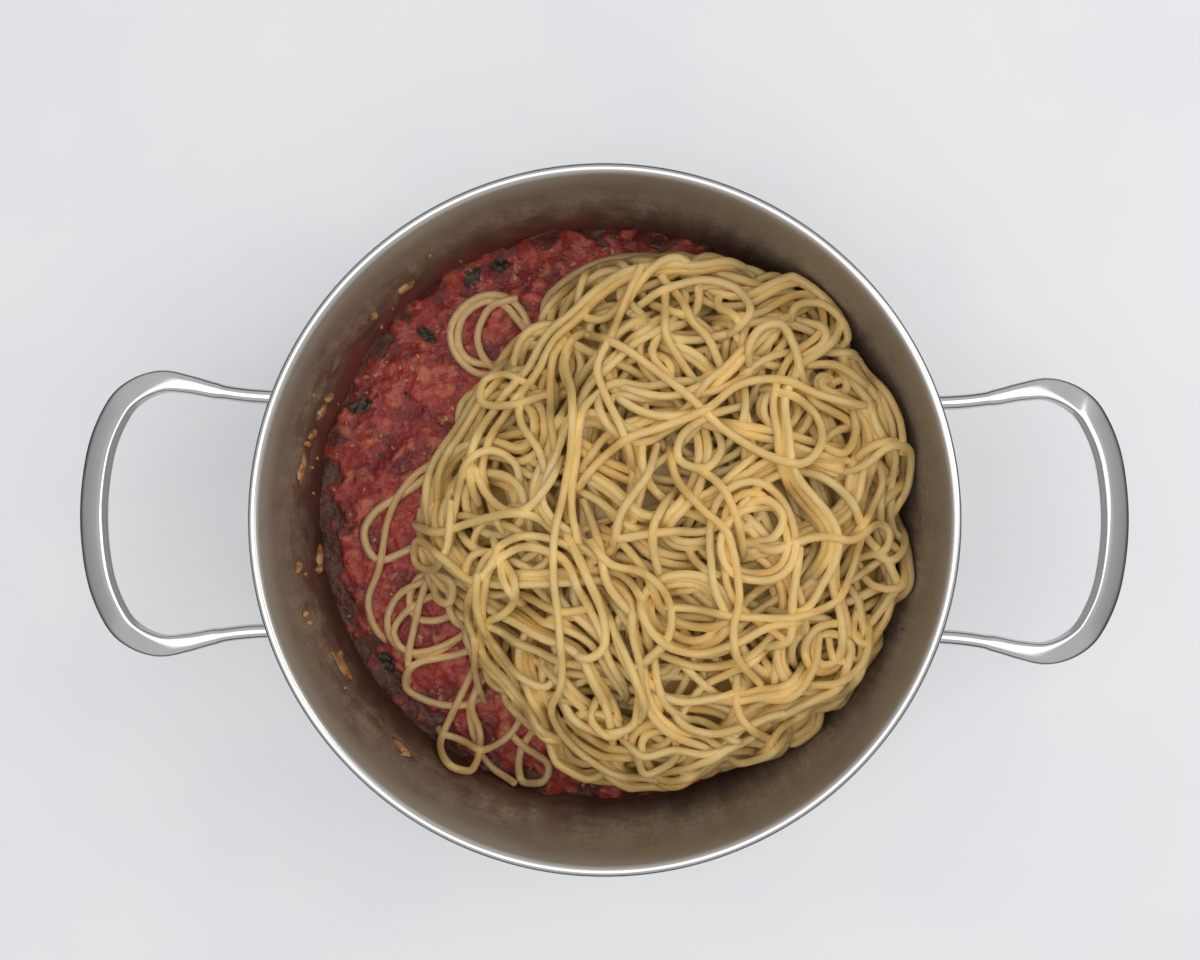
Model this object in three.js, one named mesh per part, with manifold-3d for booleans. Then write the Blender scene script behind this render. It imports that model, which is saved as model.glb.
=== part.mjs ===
// Spaghetti tipped onto tomato sauce, in the two-handled steel pot that it was cooked in.
// Millimetres, +Z up. The origin is the middle of the pot's flat foot, and the handles lie along X.
// Angles are degrees anticlockwise from +X, seen from above.

import * as THREE from "three";
import { mergeVertices } from "three/addons/utils/BufferGeometryUtils.js";
import Module from "manifold-3d";

const wasm = await Module();
wasm.setup();

// ---- Driving dimensions ----

const RIM_RADIUS = 120; // a 24 cm pot, measured over its rolled rim
const POT_HEIGHT = 110;
const WALL_RADIUS = 117.5; // outside of the straight wall
const SHEET = 1.2; // steel of wall and floor
const FOOT_RADIUS = 98; // the thick disc under the floor
const FOOT_HEIGHT = 5;
const CORNER_RADIUS = 14; // between floor and wall
const BEAD_RADIUS = 1.7; // the rolled rim
const POT_SEGMENTS = 48;

const HANDLE_REACH = 182.6; // from the pot's axis to the middle of the grip
const HANDLE_ROOT_SPREAD = 42.5; // half the distance between a handle's two feet
const HANDLE_ROOT_Z = 77;
const HANDLE_GRIP_Z = 86;
const ROD_RADIUS = 2.45;
const GRIP_WIDTH = 9.4; // the rod is pressed into a flat band at the grip
const GRIP_THICKNESS = 4.4;
const GRIP_TILT = 30; // how far the band leans outwards, in degrees
const HANDLE_FOOT_RADIUS = 8; // the pads welded to the wall

const NOODLE_RADIUS = 1.6; // cooked spaghetti
const NOODLE_SIDES = 5;
const NOODLE_CORNER = 1.72; // from a noodle's middle to a corner, so that five sides look as thick
const NOODLE_STRETCH = 180; // the length of each loose one that shows
const NOODLE_TURN_STEP = 40; // the most that a noodle turns between two rings, in degrees
const NOODLE_LONG_STEP = 13; // and the furthest that two rings lie apart
const GENTLE_BEND = 0.035; // turn of a loose noodle in a millimetre, in radians
const CURL_BEND = 0.15;
const CURL_CHANCE = 0.12;
const PRESS = 0.5; // how far crossing noodles sink into each other
const LOOSE_NOODLES = 10;

const SAUCE_Z = 27; // level of the sauce
const SAUCE_RELIEF = 0.9;
const SAUCE_LUMPS = 28;

const HEAP_CENTRE = new THREE.Vector2(18, -4); // tipped in towards the right
const HEAP_RADIUS = 93; // of the core; the outermost noodles lie round it
const HEAP_CREST = 78;
const HEAP_SHOULDER = 56; // mean height of the core's edge
const HEAP_SHOULDER_SLOPE = 16; // higher by this on the right, lower on the left
const HEAP_FLATNESS = 3.4; // power of the dome's profile: higher is flatter on top
const HEAP_BOTTOM = 14;

const LEAF_THICKNESS = 0.7;
const LEAF_LIFT = 1.2; // clears the ripples of the sauce
const LEAF_ROOM = 4.5; // noodles pass this high over a leaf

const GAP = 0.3; // clearance between neighbouring pieces
const INNER_RADIUS = WALL_RADIUS - SHEET;
const NOODLE_LIFT = PRESS + NOODLE_CORNER - NOODLE_RADIUS + 2 * GAP; // keeps noodles off the sauce
const NOODLE_REACH = INNER_RADIUS - 2 * GAP - NOODLE_CORNER; // from the pot's axis to a noodle's middle
const SEED = 3;

// ---- Small tools ----

const radians = THREE.MathUtils.degToRad;
const { lerp, smoothstep } = THREE.MathUtils;

/** A repeatable source of numbers from 0 to 1. */
function seededRandom(seed) {
  let state = seed >>> 0;
  return () => {
    state = (state + 0x6d2b79f5) >>> 0;
    let t = Math.imul(state ^ (state >>> 15), 1 | state);
    t = (t + Math.imul(t ^ (t >>> 7), 61 | t)) ^ t;
    return ((t ^ (t >>> 14)) >>> 0) / 4294967296;
  };
}

/** A closed geometry through a row of rings of equally many points, with a fan over each end. */
function loft(rings) {
  const count = rings[0].length;
  const points = rings.flat();
  const faces = [];
  for (let row = 0; row + 1 < rings.length; row++) {
    for (let i = 0; i < count; i++) {
      const [a, b] = [row * count + i, row * count + ((i + 1) % count)];
      faces.push(a, b, b + count, a, b + count, a + count);
    }
  }
  const last = (rings.length - 1) * count;
  for (const [ring, offset, flip] of [[rings[0], 0, true], [rings.at(-1), last, false]]) {
    const middle = ring.reduce((sum, p) => sum.add(p), new THREE.Vector3()).divideScalar(count);
    points.push(middle);
    for (let i = 0; i < count; i++) {
      const [a, b] = [offset + i, offset + ((i + 1) % count)];
      faces.push(points.length - 1, flip ? b : a, flip ? a : b);
    }
  }
  return new THREE.BufferGeometry().setFromPoints(points).setIndex(faces);
}

/** A thin closed geometry over a grid of points, with both faces split into the same triangles. */
function thinSheet(rows, thickness) {
  const [last, width] = [rows.length - 1, rows[0].length];
  const lower = rows.flat();
  const upper = lower.map((p) => p.clone().add(new THREE.Vector3(0, 0, thickness)));
  const lift = lower.length;
  const faces = [];
  for (let row = 0; row < last; row++) {
    for (let column = 0; column + 1 < width; column++) {
      const [a, b] = [row * width + column, row * width + column + 1];
      for (const [i, j, k] of [[a, b, b + width], [a, b + width, a + width]]) {
        faces.push(i, j, k, i + lift, k + lift, j + lift);
      }
    }
  }
  const along = Array.from({ length: last }, (_, row) => row * width);
  const across = Array.from({ length: width - 1 }, (_, column) => last * width + column);
  const edge = [...along, ...across];
  edge.push(...edge.map((i) => lift - 1 - i));
  edge.forEach((a, i) => {
    const b = edge[(i + 1) % edge.length];
    faces.push(a, b, b + lift, a, b + lift, a + lift);
  });
  return new THREE.BufferGeometry().setFromPoints([...lower, ...upper]).setIndex(faces);
}

/** The same shape as a solid that can be joined and cut. */
function solidOf(geometry) {
  const bare = geometry.clone();
  bare.deleteAttribute("normal");
  bare.deleteAttribute("uv");
  const merged = mergeVertices(bare, 1e-4);
  return new wasm.Manifold(
    new wasm.Mesh({
      numProp: 3,
      vertProperties: new Float32Array(merged.attributes.position.array),
      triVerts: new Uint32Array(merged.index.array),
    }),
  );
}

function union(solids) {
  return solids.reduce((sum, solid) => sum.add(solid));
}

/** A named mesh of a joined or cut solid. */
function meshOf(name, solid, material) {
  const { numProp, vertProperties, triVerts } = solid.getMesh();
  const geometry = new THREE.BufferGeometry();
  const positions = new Float32Array((vertProperties.length / numProp) * 3);
  for (let i = 0; i < positions.length / 3; i++) {
    positions.set(vertProperties.subarray(i * numProp, i * numProp + 3), i * 3);
  }
  geometry.setAttribute("position", new THREE.BufferAttribute(positions, 3));
  geometry.setIndex(new THREE.BufferAttribute(new Uint32Array(triVerts), 1));
  const mesh = new THREE.Mesh(geometry, material);
  mesh.name = name;
  return mesh;
}

// ---- Materials ----

const steel = new THREE.MeshStandardMaterial({ color: 0x9c958c, roughness: 0.3, metalness: 1 });
const polished = new THREE.MeshStandardMaterial({ color: 0xc4c4c6, roughness: 0.16, metalness: 1 });
const sauceRed = new THREE.MeshStandardMaterial({ color: 0x8c2a20, roughness: 0.32 });
const pastaYellow = new THREE.MeshStandardMaterial({ color: 0xd9b56c, roughness: 0.45 });
const herbGreen = new THREE.MeshStandardMaterial({ color: 0x26301f, roughness: 0.5 });

// ---- The pot ----

/** A rounded lump that lies half sunk at a point: onion on the wall, or tomato in the sauce. */
function lump(position, [length, width, height], azimuth, lean = 0) {
  const geometry = new THREE.IcosahedronGeometry(0.5, 0);
  geometry.scale(length, width, height);
  geometry.rotateX(radians(lean));
  geometry.rotateZ(radians(azimuth));
  geometry.translate(position.x, position.y, position.z);
  return solidOf(geometry);
}

// Bits of fried onion stuck to the wall above the sauce: [angle, height, length].
const WALL_ONION = [
  [131.7, 56, 9], [139.6, 60, 6], [159, 54, 10], [165, 58, 7], [171.8, 62, 10],
  [190, 68, 6], [199.7, 73, 6], [210.4, 57, 11], [229.1, 64.6, 8],
];

function makePot() {
  const profile = new THREE.Path();
  const floor = FOOT_HEIGHT + SHEET;
  profile.moveTo(0, 0);
  profile.lineTo(FOOT_RADIUS, 0);
  profile.lineTo(FOOT_RADIUS, FOOT_HEIGHT);
  profile.lineTo(WALL_RADIUS - CORNER_RADIUS, FOOT_HEIGHT);
  profile.absarc(
    WALL_RADIUS - CORNER_RADIUS, FOOT_HEIGHT + CORNER_RADIUS, CORNER_RADIUS, -Math.PI / 2, 0,
  );
  profile.lineTo(WALL_RADIUS, POT_HEIGHT - 3 * BEAD_RADIUS);
  profile.absarc(
    RIM_RADIUS - BEAD_RADIUS, POT_HEIGHT - BEAD_RADIUS, BEAD_RADIUS, -Math.PI / 3, Math.PI * 0.75,
  );
  profile.lineTo(INNER_RADIUS, POT_HEIGHT - 2.2 * BEAD_RADIUS);
  profile.lineTo(INNER_RADIUS, floor + CORNER_RADIUS);
  profile.absarc(
    INNER_RADIUS - CORNER_RADIUS, floor + CORNER_RADIUS, CORNER_RADIUS, 0, -Math.PI / 2, true,
  );
  profile.lineTo(0, floor);
  const lathe = new THREE.LatheGeometry(profile.getPoints(2), POT_SEGMENTS);
  const shell = solidOf(lathe.rotateX(Math.PI / 2));
  const bits = WALL_ONION.map(([angle, height, length]) => {
    const place = new THREE.Vector3(INNER_RADIUS - 0.6, 0, height);
    place.applyAxisAngle(new THREE.Vector3(0, 0, 1), radians(angle));
    return lump(place, [3, length, length * 0.5], angle, 25);
  });
  return meshOf("pot_body", union([shell, ...bits]), steel);
}

// ---- The handles ----

/** The middle line of the right handle, from its upper foot round the grip to its lower one. */
function handleRoute() {
  const half = [
    [Math.sqrt(WALL_RADIUS ** 2 - HANDLE_ROOT_SPREAD ** 2) - 1, HANDLE_ROOT_SPREAD],
    [120, HANDLE_ROOT_SPREAD],
    [131, HANDLE_ROOT_SPREAD + 0.6],
    [141, HANDLE_ROOT_SPREAD + 2],
    [150, HANDLE_ROOT_SPREAD + 4],
    [159, HANDLE_ROOT_SPREAD + 4.8],
    [167.5, HANDLE_ROOT_SPREAD + 1.2],
    [173.8, 36.8],
    [179.6, 21.8],
  ];
  const rise = (x) => HANDLE_ROOT_Z
    + (HANDLE_GRIP_Z - HANDLE_ROOT_Z) * smoothstep(x, WALL_RADIUS, HANDLE_REACH);
  const side = (sign) => half.map(([x, y]) => new THREE.Vector3(x, sign * y, rise(x)));
  const grip = new THREE.Vector3(HANDLE_REACH, 0, HANDLE_GRIP_Z);
  return new THREE.CatmullRomCurve3([...side(1), grip, ...side(-1).reverse()]);
}

/** A round rod at the feet that turns into a flat, leaning band at the grip. */
function handleRings(route, stations, sides) {
  const rings = [];
  const up = new THREE.Vector3(0, 0, 1);
  for (let k = 0; k <= stations; k++) {
    const share = k / stations;
    const flat = smoothstep(0.5 - Math.abs(share - 0.5), 0.13, 0.36);
    const middle = route.getPointAt(share);
    const along = route.getTangentAt(share);
    const out = new THREE.Vector3().crossVectors(up, along).normalize();
    out.applyAxisAngle(along, -radians(GRIP_TILT) * flat);
    const top = new THREE.Vector3().crossVectors(along, out);
    const width = lerp(ROD_RADIUS, GRIP_WIDTH / 2, flat);
    const height = lerp(ROD_RADIUS, GRIP_THICKNESS / 2, flat);
    const square = lerp(1, 0.62, flat);
    const bulge = (v) => Math.sign(v) * Math.abs(v) ** square;
    rings.push(Array.from({ length: sides }, (_, i) => {
      const angle = (2 * Math.PI * (i + 0.5)) / sides;
      return middle.clone()
        .addScaledVector(out, width * bulge(Math.cos(angle)))
        .addScaledVector(top, height * bulge(Math.sin(angle)));
    }));
  }
  return rings;
}

function makeHandle(name, mirror) {
  const rod = solidOf(loft(handleRings(handleRoute(), 22, 8)));
  const wall = new THREE.CylinderGeometry(WALL_RADIUS + GAP, WALL_RADIUS + GAP, POT_HEIGHT, 60);
  wall.rotateX(Math.PI / 2);
  wall.translate(0, 0, POT_HEIGHT / 2);
  const feet = [1, -1].map((sign) => {
    const azimuth = sign * Math.asin(HANDLE_ROOT_SPREAD / WALL_RADIUS);
    const pad = new THREE.CylinderGeometry(HANDLE_FOOT_RADIUS * 0.8, HANDLE_FOOT_RADIUS, 3, 10);
    pad.rotateZ(-Math.PI / 2);
    pad.translate(WALL_RADIUS + 0.7, 0, HANDLE_ROOT_Z);
    pad.rotateZ(azimuth);
    return solidOf(pad);
  });
  const whole = union([rod, ...feet]).subtract(solidOf(wall));
  return meshOf(name, mirror ? whole.mirror([1, 0, 0]) : whole, polished);
}

// ---- The sauce ----

/** Slow, smooth unevenness from -1 to 1 with a wavelength of about `size`. */
function ripple(x, y, size) {
  const [u, v] = [x / size, y / size];
  return (Math.sin(u * 5.1 + 1.3 * Math.sin(v * 3.7)) + Math.sin(v * 6.3 + 1.7 * Math.sin(u * 4.3 + 2))) / 2;
}

function sauceTop(x, y) {
  return SAUCE_Z + SAUCE_RELIEF * ripple(x, y, 34);
}

// ---- The heap's core ----

/** How far the core's outline lies from its centre, never closer to the wall than a noodle needs. */
function outlineRadius(angle) {
  const direction = new THREE.Vector2(Math.cos(angle), Math.sin(angle));
  const reach = NOODLE_REACH - NOODLE_RADIUS;
  const along = HEAP_CENTRE.dot(direction);
  const toWall = -along + Math.sqrt(along ** 2 + reach ** 2 - HEAP_CENTRE.lengthSq());
  const uneven = 1 - 0.04 * Math.cos(2 * angle) + 0.02 * Math.sin(5 * angle + 1);
  return Math.min(HEAP_RADIUS * uneven, toWall);
}

/** The height of the core's top: a flat dome that ends in a shoulder, with nothing outside it. */
function coreTop(x, y) {
  const away = new THREE.Vector2(x, y).sub(HEAP_CENTRE);
  const share = away.length() / outlineRadius(away.angle());
  if (share > 1) return -Infinity;
  const shoulder = HEAP_SHOULDER + HEAP_SHOULDER_SLOPE * Math.cos(away.angle() - 0.2);
  const rise = (HEAP_CREST - shoulder) * (1 - share ** HEAP_FLATNESS);
  return shoulder + rise + 1.2 * ripple(x, y, 40);
}

/** The dome under the noodles. Its flank and underside can stand out by `grow`, to cut its bed. */
function coreSolid(grow) {
  const segments = 34;
  const ring = (share, height) => Array.from({ length: segments }, (_, i) => {
    const angle = (2 * Math.PI * i) / segments;
    const reach = share * outlineRadius(angle);
    const spot = new THREE.Vector2(Math.cos(angle), Math.sin(angle));
    const [x, y] = spot.clone().multiplyScalar(reach * 0.999).add(HEAP_CENTRE);
    const [u, v] = spot.multiplyScalar(reach + grow).add(HEAP_CENTRE);
    return new THREE.Vector3(u, v, height ?? coreTop(x, y));
  });
  const rings = [ring(0.86, HEAP_BOTTOM - grow), ring(0.95, SAUCE_Z)];
  rings.push(...[1, 0.9, 0.72, 0.5, 0.25].map((share) => ring(share)));
  return solidOf(loft(rings));
}

// ---- Noodles ----

/** The height of whatever already lies in the pot, on a square grid of one millimetre. */
class HeightMap {
  constructor(heightAt) {
    this.half = Math.ceil(INNER_RADIUS);
    this.size = 2 * this.half + 1;
    this.cells = new Float32Array(this.size ** 2);
    for (let row = 0; row < this.size; row++) {
      for (let column = 0; column < this.size; column++) {
        this.cells[row * this.size + column] = heightAt(column - this.half, row - this.half);
      }
    }
  }

  /** Calls visit(cell, distance) for the cells within reach of a point. */
  around(x, y, reach, visit) {
    for (let j = Math.ceil(y - reach); j <= y + reach; j++) {
      for (let i = Math.ceil(x - reach); i <= x + reach; i++) {
        const distance = Math.hypot(i - x, j - y);
        const inside = Math.abs(i) <= this.half && Math.abs(j) <= this.half;
        if (distance <= reach && inside) visit((j + this.half) * this.size + i + this.half, distance);
      }
    }
  }

  /** The height at which the middle of a noodle would rest here. */
  rest(x, y) {
    let height = -Infinity;
    this.around(x, y, NOODLE_RADIUS, (cell) => {
      height = Math.max(height, this.cells[cell]);
    });
    return height + NOODLE_RADIUS;
  }

  /** Adds a ball of noodle. */
  cover(point) {
    this.around(point.x, point.y, NOODLE_RADIUS, (cell, distance) => {
      const top = point.z + Math.sqrt(NOODLE_RADIUS ** 2 - distance ** 2);
      this.cells[cell] = Math.max(this.cells[cell], top);
    });
  }

  /** Raises a round spot to a height. */
  raise(x, y, reach, height) {
    this.around(x, y, reach, (cell) => {
      this.cells[cell] = Math.max(this.cells[cell], height);
    });
  }
}

const DRAPE_ROUNDS = 60;

/** Gives a flat route its heights: the noodle lies over what is there, and over itself, and spans dips. */
function drape(route, map) {
  const low = [];
  route.forEach((p, i) => {
    let height = map.rest(p.x, p.y) - PRESS;
    for (let j = 0; j < i - 3 * NOODLE_RADIUS; j++) {
      const apart = Math.hypot(p.x - route[j].x, p.y - route[j].y);
      if (apart < 2 * NOODLE_RADIUS) {
        height = Math.max(height, low[j] + Math.sqrt(4 * NOODLE_RADIUS ** 2 - apart ** 2) - PRESS);
      }
    }
    low.push(height);
  });
  let heights = low.slice();
  for (let round = 0; round < DRAPE_ROUNDS; round++) {
    heights = heights.map((h, i) => {
      const before = heights[Math.max(i - 1, 0)];
      const after = heights[Math.min(i + 1, heights.length - 1)];
      return Math.max((before + 2 * h + after) / 4, low[i]);
    });
  }
  const draped = route.map((p, i) => new THREE.Vector3(p.x, p.y, heights[i]));
  draped.forEach((point) => map.cover(point));
  return draped;
}

/** The stations of a tube along a fine line: close together in a curl, far apart where it is straight. */
function stations(line) {
  const kept = [line[0]];
  let turned = 0;
  let gone = 0;
  for (let i = 1; i + 1 < line.length; i++) {
    const before = line[i].clone().sub(line[i - 1]);
    const after = line[i + 1].clone().sub(line[i]);
    turned += before.angleTo(after);
    gone += before.length();
    if (turned > radians(NOODLE_TURN_STEP) || gone > NOODLE_LONG_STEP) {
      kept.push(line[i]);
      [turned, gone] = [0, 0];
    }
  }
  kept.push(line.at(-1));
  return kept;
}

/** A tube of few sides along a line, its rings carried forward without twist. */
function noodleSolid(line) {
  const points = stations(line);
  let side = new THREE.Vector3(0, 0, 1);
  const rings = points.map((point, k) => {
    const along = points[Math.min(k + 1, points.length - 1)].clone()
      .sub(points[Math.max(k - 1, 0)]).normalize();
    side = side.addScaledVector(along, -side.dot(along)).normalize();
    const other = new THREE.Vector3().crossVectors(along, side);
    return Array.from({ length: NOODLE_SIDES }, (_, i) => {
      const angle = (2 * Math.PI * i) / NOODLE_SIDES;
      return point.clone()
        .addScaledVector(side, NOODLE_CORNER * Math.cos(angle))
        .addScaledVector(other, NOODLE_CORNER * Math.sin(angle));
    });
  });
  return solidOf(loft(rings));
}

/** A flat route through a few points, one point a millimetre, kept off the wall. */
function routeThrough(points) {
  const curve = new THREE.CatmullRomCurve3(points.map(([x, y]) => new THREE.Vector3(x, y, 0)));
  return curve.getSpacedPoints(Math.round(curve.getLength()))
    .map((p) => new THREE.Vector2(p.x, p.y).clampLength(0, NOODLE_REACH));
}

/** A flat route that wanders over the heap: gentle bends, now and then a curl, turned back at the edge. */
function wander(random, start, heading) {
  const route = [start.clone()];
  let [direction, bend, wanted, hold] = [heading, 0, 0, 0];
  for (let gone = 0; gone < NOODLE_STRETCH; gone++) {
    if (hold-- <= 0) {
      const most = random() < CURL_CHANCE ? CURL_BEND : GENTLE_BEND;
      wanted = most * (random() < 0.5 ? -1 : 1) * (0.4 + 0.6 * random());
      hold = 20 + 28 * random();
    }
    bend += (wanted - bend) / 5;
    const away = route.at(-1).clone().sub(HEAP_CENTRE);
    const outward = Math.cos(direction - away.angle());
    const edge = away.length() / outlineRadius(away.angle()) - 0.92;
    if (edge > 0 && outward > -0.1) {
      bend = Math.sign(Math.sin(direction - away.angle())) * (0.05 + 0.9 * edge);
    }
    direction += bend;
    const step = new THREE.Vector2(Math.cos(direction), Math.sin(direction));
    route.push(step.add(route.at(-1)).clampLength(0, NOODLE_REACH));
  }
  return route;
}

// Loops that have slipped off the heap onto the sauce, as points seen from above.
const SLIPPED_NOODLES = {
  upperRing: [[-8, 70], [-30, 79], [-46, 89], [-63, 78], [-57, 59], [-38, 58]],
  upperRingTwin: [[-10, 65], [-32, 76], [-46, 85], [-59, 75], [-54, 62], [-34, 54]],
  ringCross: [[-34, 88], [-47, 83], [-52, 68], [-38, 48]],
  topLoop: [[40, 92], [22, 104], [-6, 101], [-25, 86], [-20, 74], [-2, 70]],
  topLoopTwin: [[32, 86], [12, 98], [-10, 92], [-18, 82], [2, 76]],
  leftBulge: [[-56, 20], [-79, 9], [-97, -6], [-92, -20], [-76, -15], [-58, -6]],
  leftWave: [[-60, 24], [-84, 6], [-90, -20], [-96, -38], [-82, -58]],
  lowRing: [[-48, -44], [-65, -32], [-78, -28], [-76, -44], [-62, -42], [-48, -22]],
  lowBow: [[-52, -22], [-80, -33], [-87, -52], [-70, -59], [-48, -40]],
  lowBowTwin: [[-50, -32], [-79, -40], [-81, -55], [-50, -46]],
  hangingEnd: [[-54, -14], [-71, -28], [-78, -58], [-80, -78]],
  innerBow: [[-40, -50], [-66, -58], [-79, -70], [-64, -80], [-42, -72]],
  foreBow: [[-66, -90], [-46, -95], [-30, -84], [-22, -62]],
  foreLoop: [[-46, -52], [-62, -84], [-62, -105], [-49, -94], [-50, -76], [-40, -62]],
  frontLoop: [[-10, -64], [-29, -90], [-29, -109], [-22, -101], [-40, -84]],
  frontBow: [[-14, -66], [-12, -96], [4, -110], [26, -110]],
};

// The strands that lie uppermost on the heap.
const UPPER_NOODLES = {
  longBundle: [[-18, 66], [-29, 38], [-26, 8], [-22, -20], [-27, -50], [-28, -84]],
  longBundleTwin: [[-12, 66], [-24, 38], [-21, 8], [-12, -16], [-2, -40], [-12, -60]],
  fallingDiagonal: [[-8, 72], [18, 50], [36, 32], [58, 20], [76, 22]],
  risingDiagonal: [[-18, 0], [-4, 16], [14, 28], [40, 34], [66, 44], [86, 34]],
  backBundle: [[12, 84], [14, 60], [30, 44], [36, 26]],
  middleBow: [[22, 20], [17, 2], [30, -10], [44, -16], [54, -34]],
  foreBow: [[10, -44], [40, -47], [66, -42], [88, -28], [98, -6]],
  leftSpan: [[-82, -10], [-60, -6], [-38, 0], [-16, -4]],
  curl: [[26, 22], [35, 30], [44, 23], [38, 11], [26, 16], [30, 32]],
  rightCurl: [[50, -2], [60, 4], [68, -5], [58, -15], [36, -20]],
};

/** Core and noodles as one solid; `low` holds the heights of the sauce, and `full` of the core too. */
function makeSpaghetti(low, full) {
  const random = seededRandom(SEED);
  const lines = Object.values(SLIPPED_NOODLES).map((points) => drape(routeThrough(points), low));
  lines.flat().forEach((point) => full.cover(point));
  for (let i = 0; i < LOOSE_NOODLES; i++) {
    const angle = i * radians(137.5); // the golden angle spreads the starts evenly
    const start = new THREE.Vector2(Math.cos(angle), Math.sin(angle));
    start.multiplyScalar(0.88 * HEAP_RADIUS * Math.sqrt((i + 0.5) / LOOSE_NOODLES)).add(HEAP_CENTRE);
    lines.push(drape(wander(random, start, angle + 1.2 + random()), full));
  }
  lines.push(...Object.values(UPPER_NOODLES).map((points) => drape(routeThrough(points), full)));
  const heap = union([coreSolid(0), ...lines.map(noodleSolid)]);
  return meshOf("spaghetti_heap", heap.simplify(0.2), pastaYellow);
}

// Wilted basil on the sauce: [x, y, length, direction].
const LEAVES = [[-97, 42, 9.5, 20], [-54, 93.5, 9, 50], [-43.5, 101, 8, 10], [-88, -62, 9, 120], [-73, 72, 8, 140]];

/** Pieces of tomato that stand out of the sauce where heap and basil leave it free. */
function sauceLumps(random, map) {
  const lumps = [];
  for (let i = 0; i < SAUCE_LUMPS; i++) {
    const size = 5 + 6 * random();
    const angle = radians(92 + 170 * ((i * 0.618) % 1)); // the golden ratio spreads them evenly
    const spot = new THREE.Vector2(Math.cos(angle), Math.sin(angle)).multiplyScalar(84 + 26 * random());
    const away = spot.clone().sub(HEAP_CENTRE);
    const onHeap = away.length() < outlineRadius(away.angle()) + size / 2 + 1;
    const onWall = spot.length() > INNER_RADIUS - size / 2 - 1;
    const onLeaf = LEAVES.some(([x, y]) => spot.distanceTo(new THREE.Vector2(x, y)) < 5.5 + size / 2);
    if (onHeap || onWall || onLeaf) continue;
    const place = new THREE.Vector3(spot.x, spot.y, sauceTop(spot.x, spot.y) - 0.4);
    const height = 3 + random();
    lumps.push(lump(place, [size, size * (0.5 + 0.3 * random()), height], 360 * random()));
    map.raise(spot.x, spot.y, size / 2, place.z + height / 2 + NOODLE_LIFT);
  }
  return lumps;
}

function makeSauce(lumps) {
  const radius = INNER_RADIUS - GAP - 0.15;
  const corner = CORNER_RADIUS - GAP;
  const floor = FOOT_HEIGHT + SHEET + GAP + 0.15;
  const ring = (distance, height) => Array.from({ length: POT_SEGMENTS }, (_, i) => {
    const angle = (2 * Math.PI * i) / POT_SEGMENTS;
    const [x, y] = [distance * Math.cos(angle), distance * Math.sin(angle)];
    return new THREE.Vector3(x, y, height ?? sauceTop(x, y));
  });
  const bends = [0, 45, 90].map(radians).map((turn) => ring(
    radius - corner * (1 - Math.sin(turn)), floor + corner * (1 - Math.cos(turn)),
  ));
  const surface = [radius, 104, 93, 80, 40].map((distance) => ring(distance));
  const block = union([solidOf(loft([ring(40, floor), ...bends, ...surface])), ...lumps]);
  return meshOf("tomato_sauce", block.subtract(coreSolid(GAP)), sauceRed);
}

/** A thin wavy leaf lying on the sauce. */
function makeLeaf([x, y, length, direction], index) {
  const rows = Array.from({ length: 6 }, (_, row) => {
    const share = row / 5;
    const half = Math.max(0.35, 0.3 * length * Math.sin(Math.PI * (0.08 + 0.86 * share)) ** 0.8);
    return [-half, 0, half].map((across) => {
      const wave = 0.5 * Math.sin(5 * share + 0.7 * across) + 0.4 * Math.cos(8 * share - 0.4 * across);
      return new THREE.Vector3((share - 0.5) * length, across, wave);
    });
  });
  const geometry = thinSheet(rows, LEAF_THICKNESS);
  geometry.rotateZ(radians(direction));
  geometry.translate(x, y, SAUCE_Z + SAUCE_RELIEF + LEAF_LIFT);
  return meshOf(`basil_leaf_${index + 1}`, solidOf(geometry), herbGreen);
}

// ---- The whole ----

const low = new HeightMap((x, y) => sauceTop(x, y) + NOODLE_LIFT);
const chunks = sauceLumps(seededRandom(SEED + 1), low);
LEAVES.forEach(([x, y, length]) => low.raise(x, y, length / 2 + 1, SAUCE_Z + LEAF_ROOM));
const full = new HeightMap(coreTop);
full.cells = full.cells.map((height, cell) => Math.max(height, low.cells[cell]));

const dish = new THREE.Group();
dish.add(makePot(), makeHandle("handle_right", false), makeHandle("handle_left", true));
dish.add(makeSauce(chunks), makeSpaghetti(low, full), ...LEAVES.map(makeLeaf));

export default dish;
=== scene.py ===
"""Looks of a two-handled steel pot with spaghetti tipped onto chopped tomato sauce.

Lengths in the classes are millimetres, measured from the middle of the pot's flat foot, with +Z up
and the handles along X. They become metres where a mesh is made. Angles are in degrees,
anticlockwise from +X seen from above.
"""

from __future__ import annotations

import logging
import math
from collections.abc import Iterable, Sequence
from dataclasses import dataclass, field
from enum import Enum

import bmesh
import bpy
import numpy as np
from mathutils import Matrix, Vector
from mathutils import noise as solid_noise


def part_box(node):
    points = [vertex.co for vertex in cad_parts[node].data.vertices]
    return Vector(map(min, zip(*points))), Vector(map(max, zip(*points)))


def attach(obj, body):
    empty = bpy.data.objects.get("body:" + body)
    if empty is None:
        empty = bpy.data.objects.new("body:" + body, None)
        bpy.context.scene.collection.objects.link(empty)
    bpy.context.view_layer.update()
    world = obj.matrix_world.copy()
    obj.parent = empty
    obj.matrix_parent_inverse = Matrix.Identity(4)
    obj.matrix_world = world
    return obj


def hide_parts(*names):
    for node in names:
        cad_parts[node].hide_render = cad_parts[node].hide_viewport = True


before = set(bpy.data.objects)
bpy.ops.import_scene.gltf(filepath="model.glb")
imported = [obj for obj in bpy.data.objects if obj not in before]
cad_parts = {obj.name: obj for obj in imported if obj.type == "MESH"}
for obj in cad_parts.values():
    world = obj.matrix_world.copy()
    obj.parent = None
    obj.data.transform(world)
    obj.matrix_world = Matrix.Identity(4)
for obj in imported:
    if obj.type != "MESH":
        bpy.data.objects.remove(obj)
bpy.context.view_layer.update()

log = logging.getLogger("spaghetti_pot")

MM = 0.001
MERGED = 1e-7
BODY = "root"
Route = Sequence[tuple[float, float]]


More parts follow.
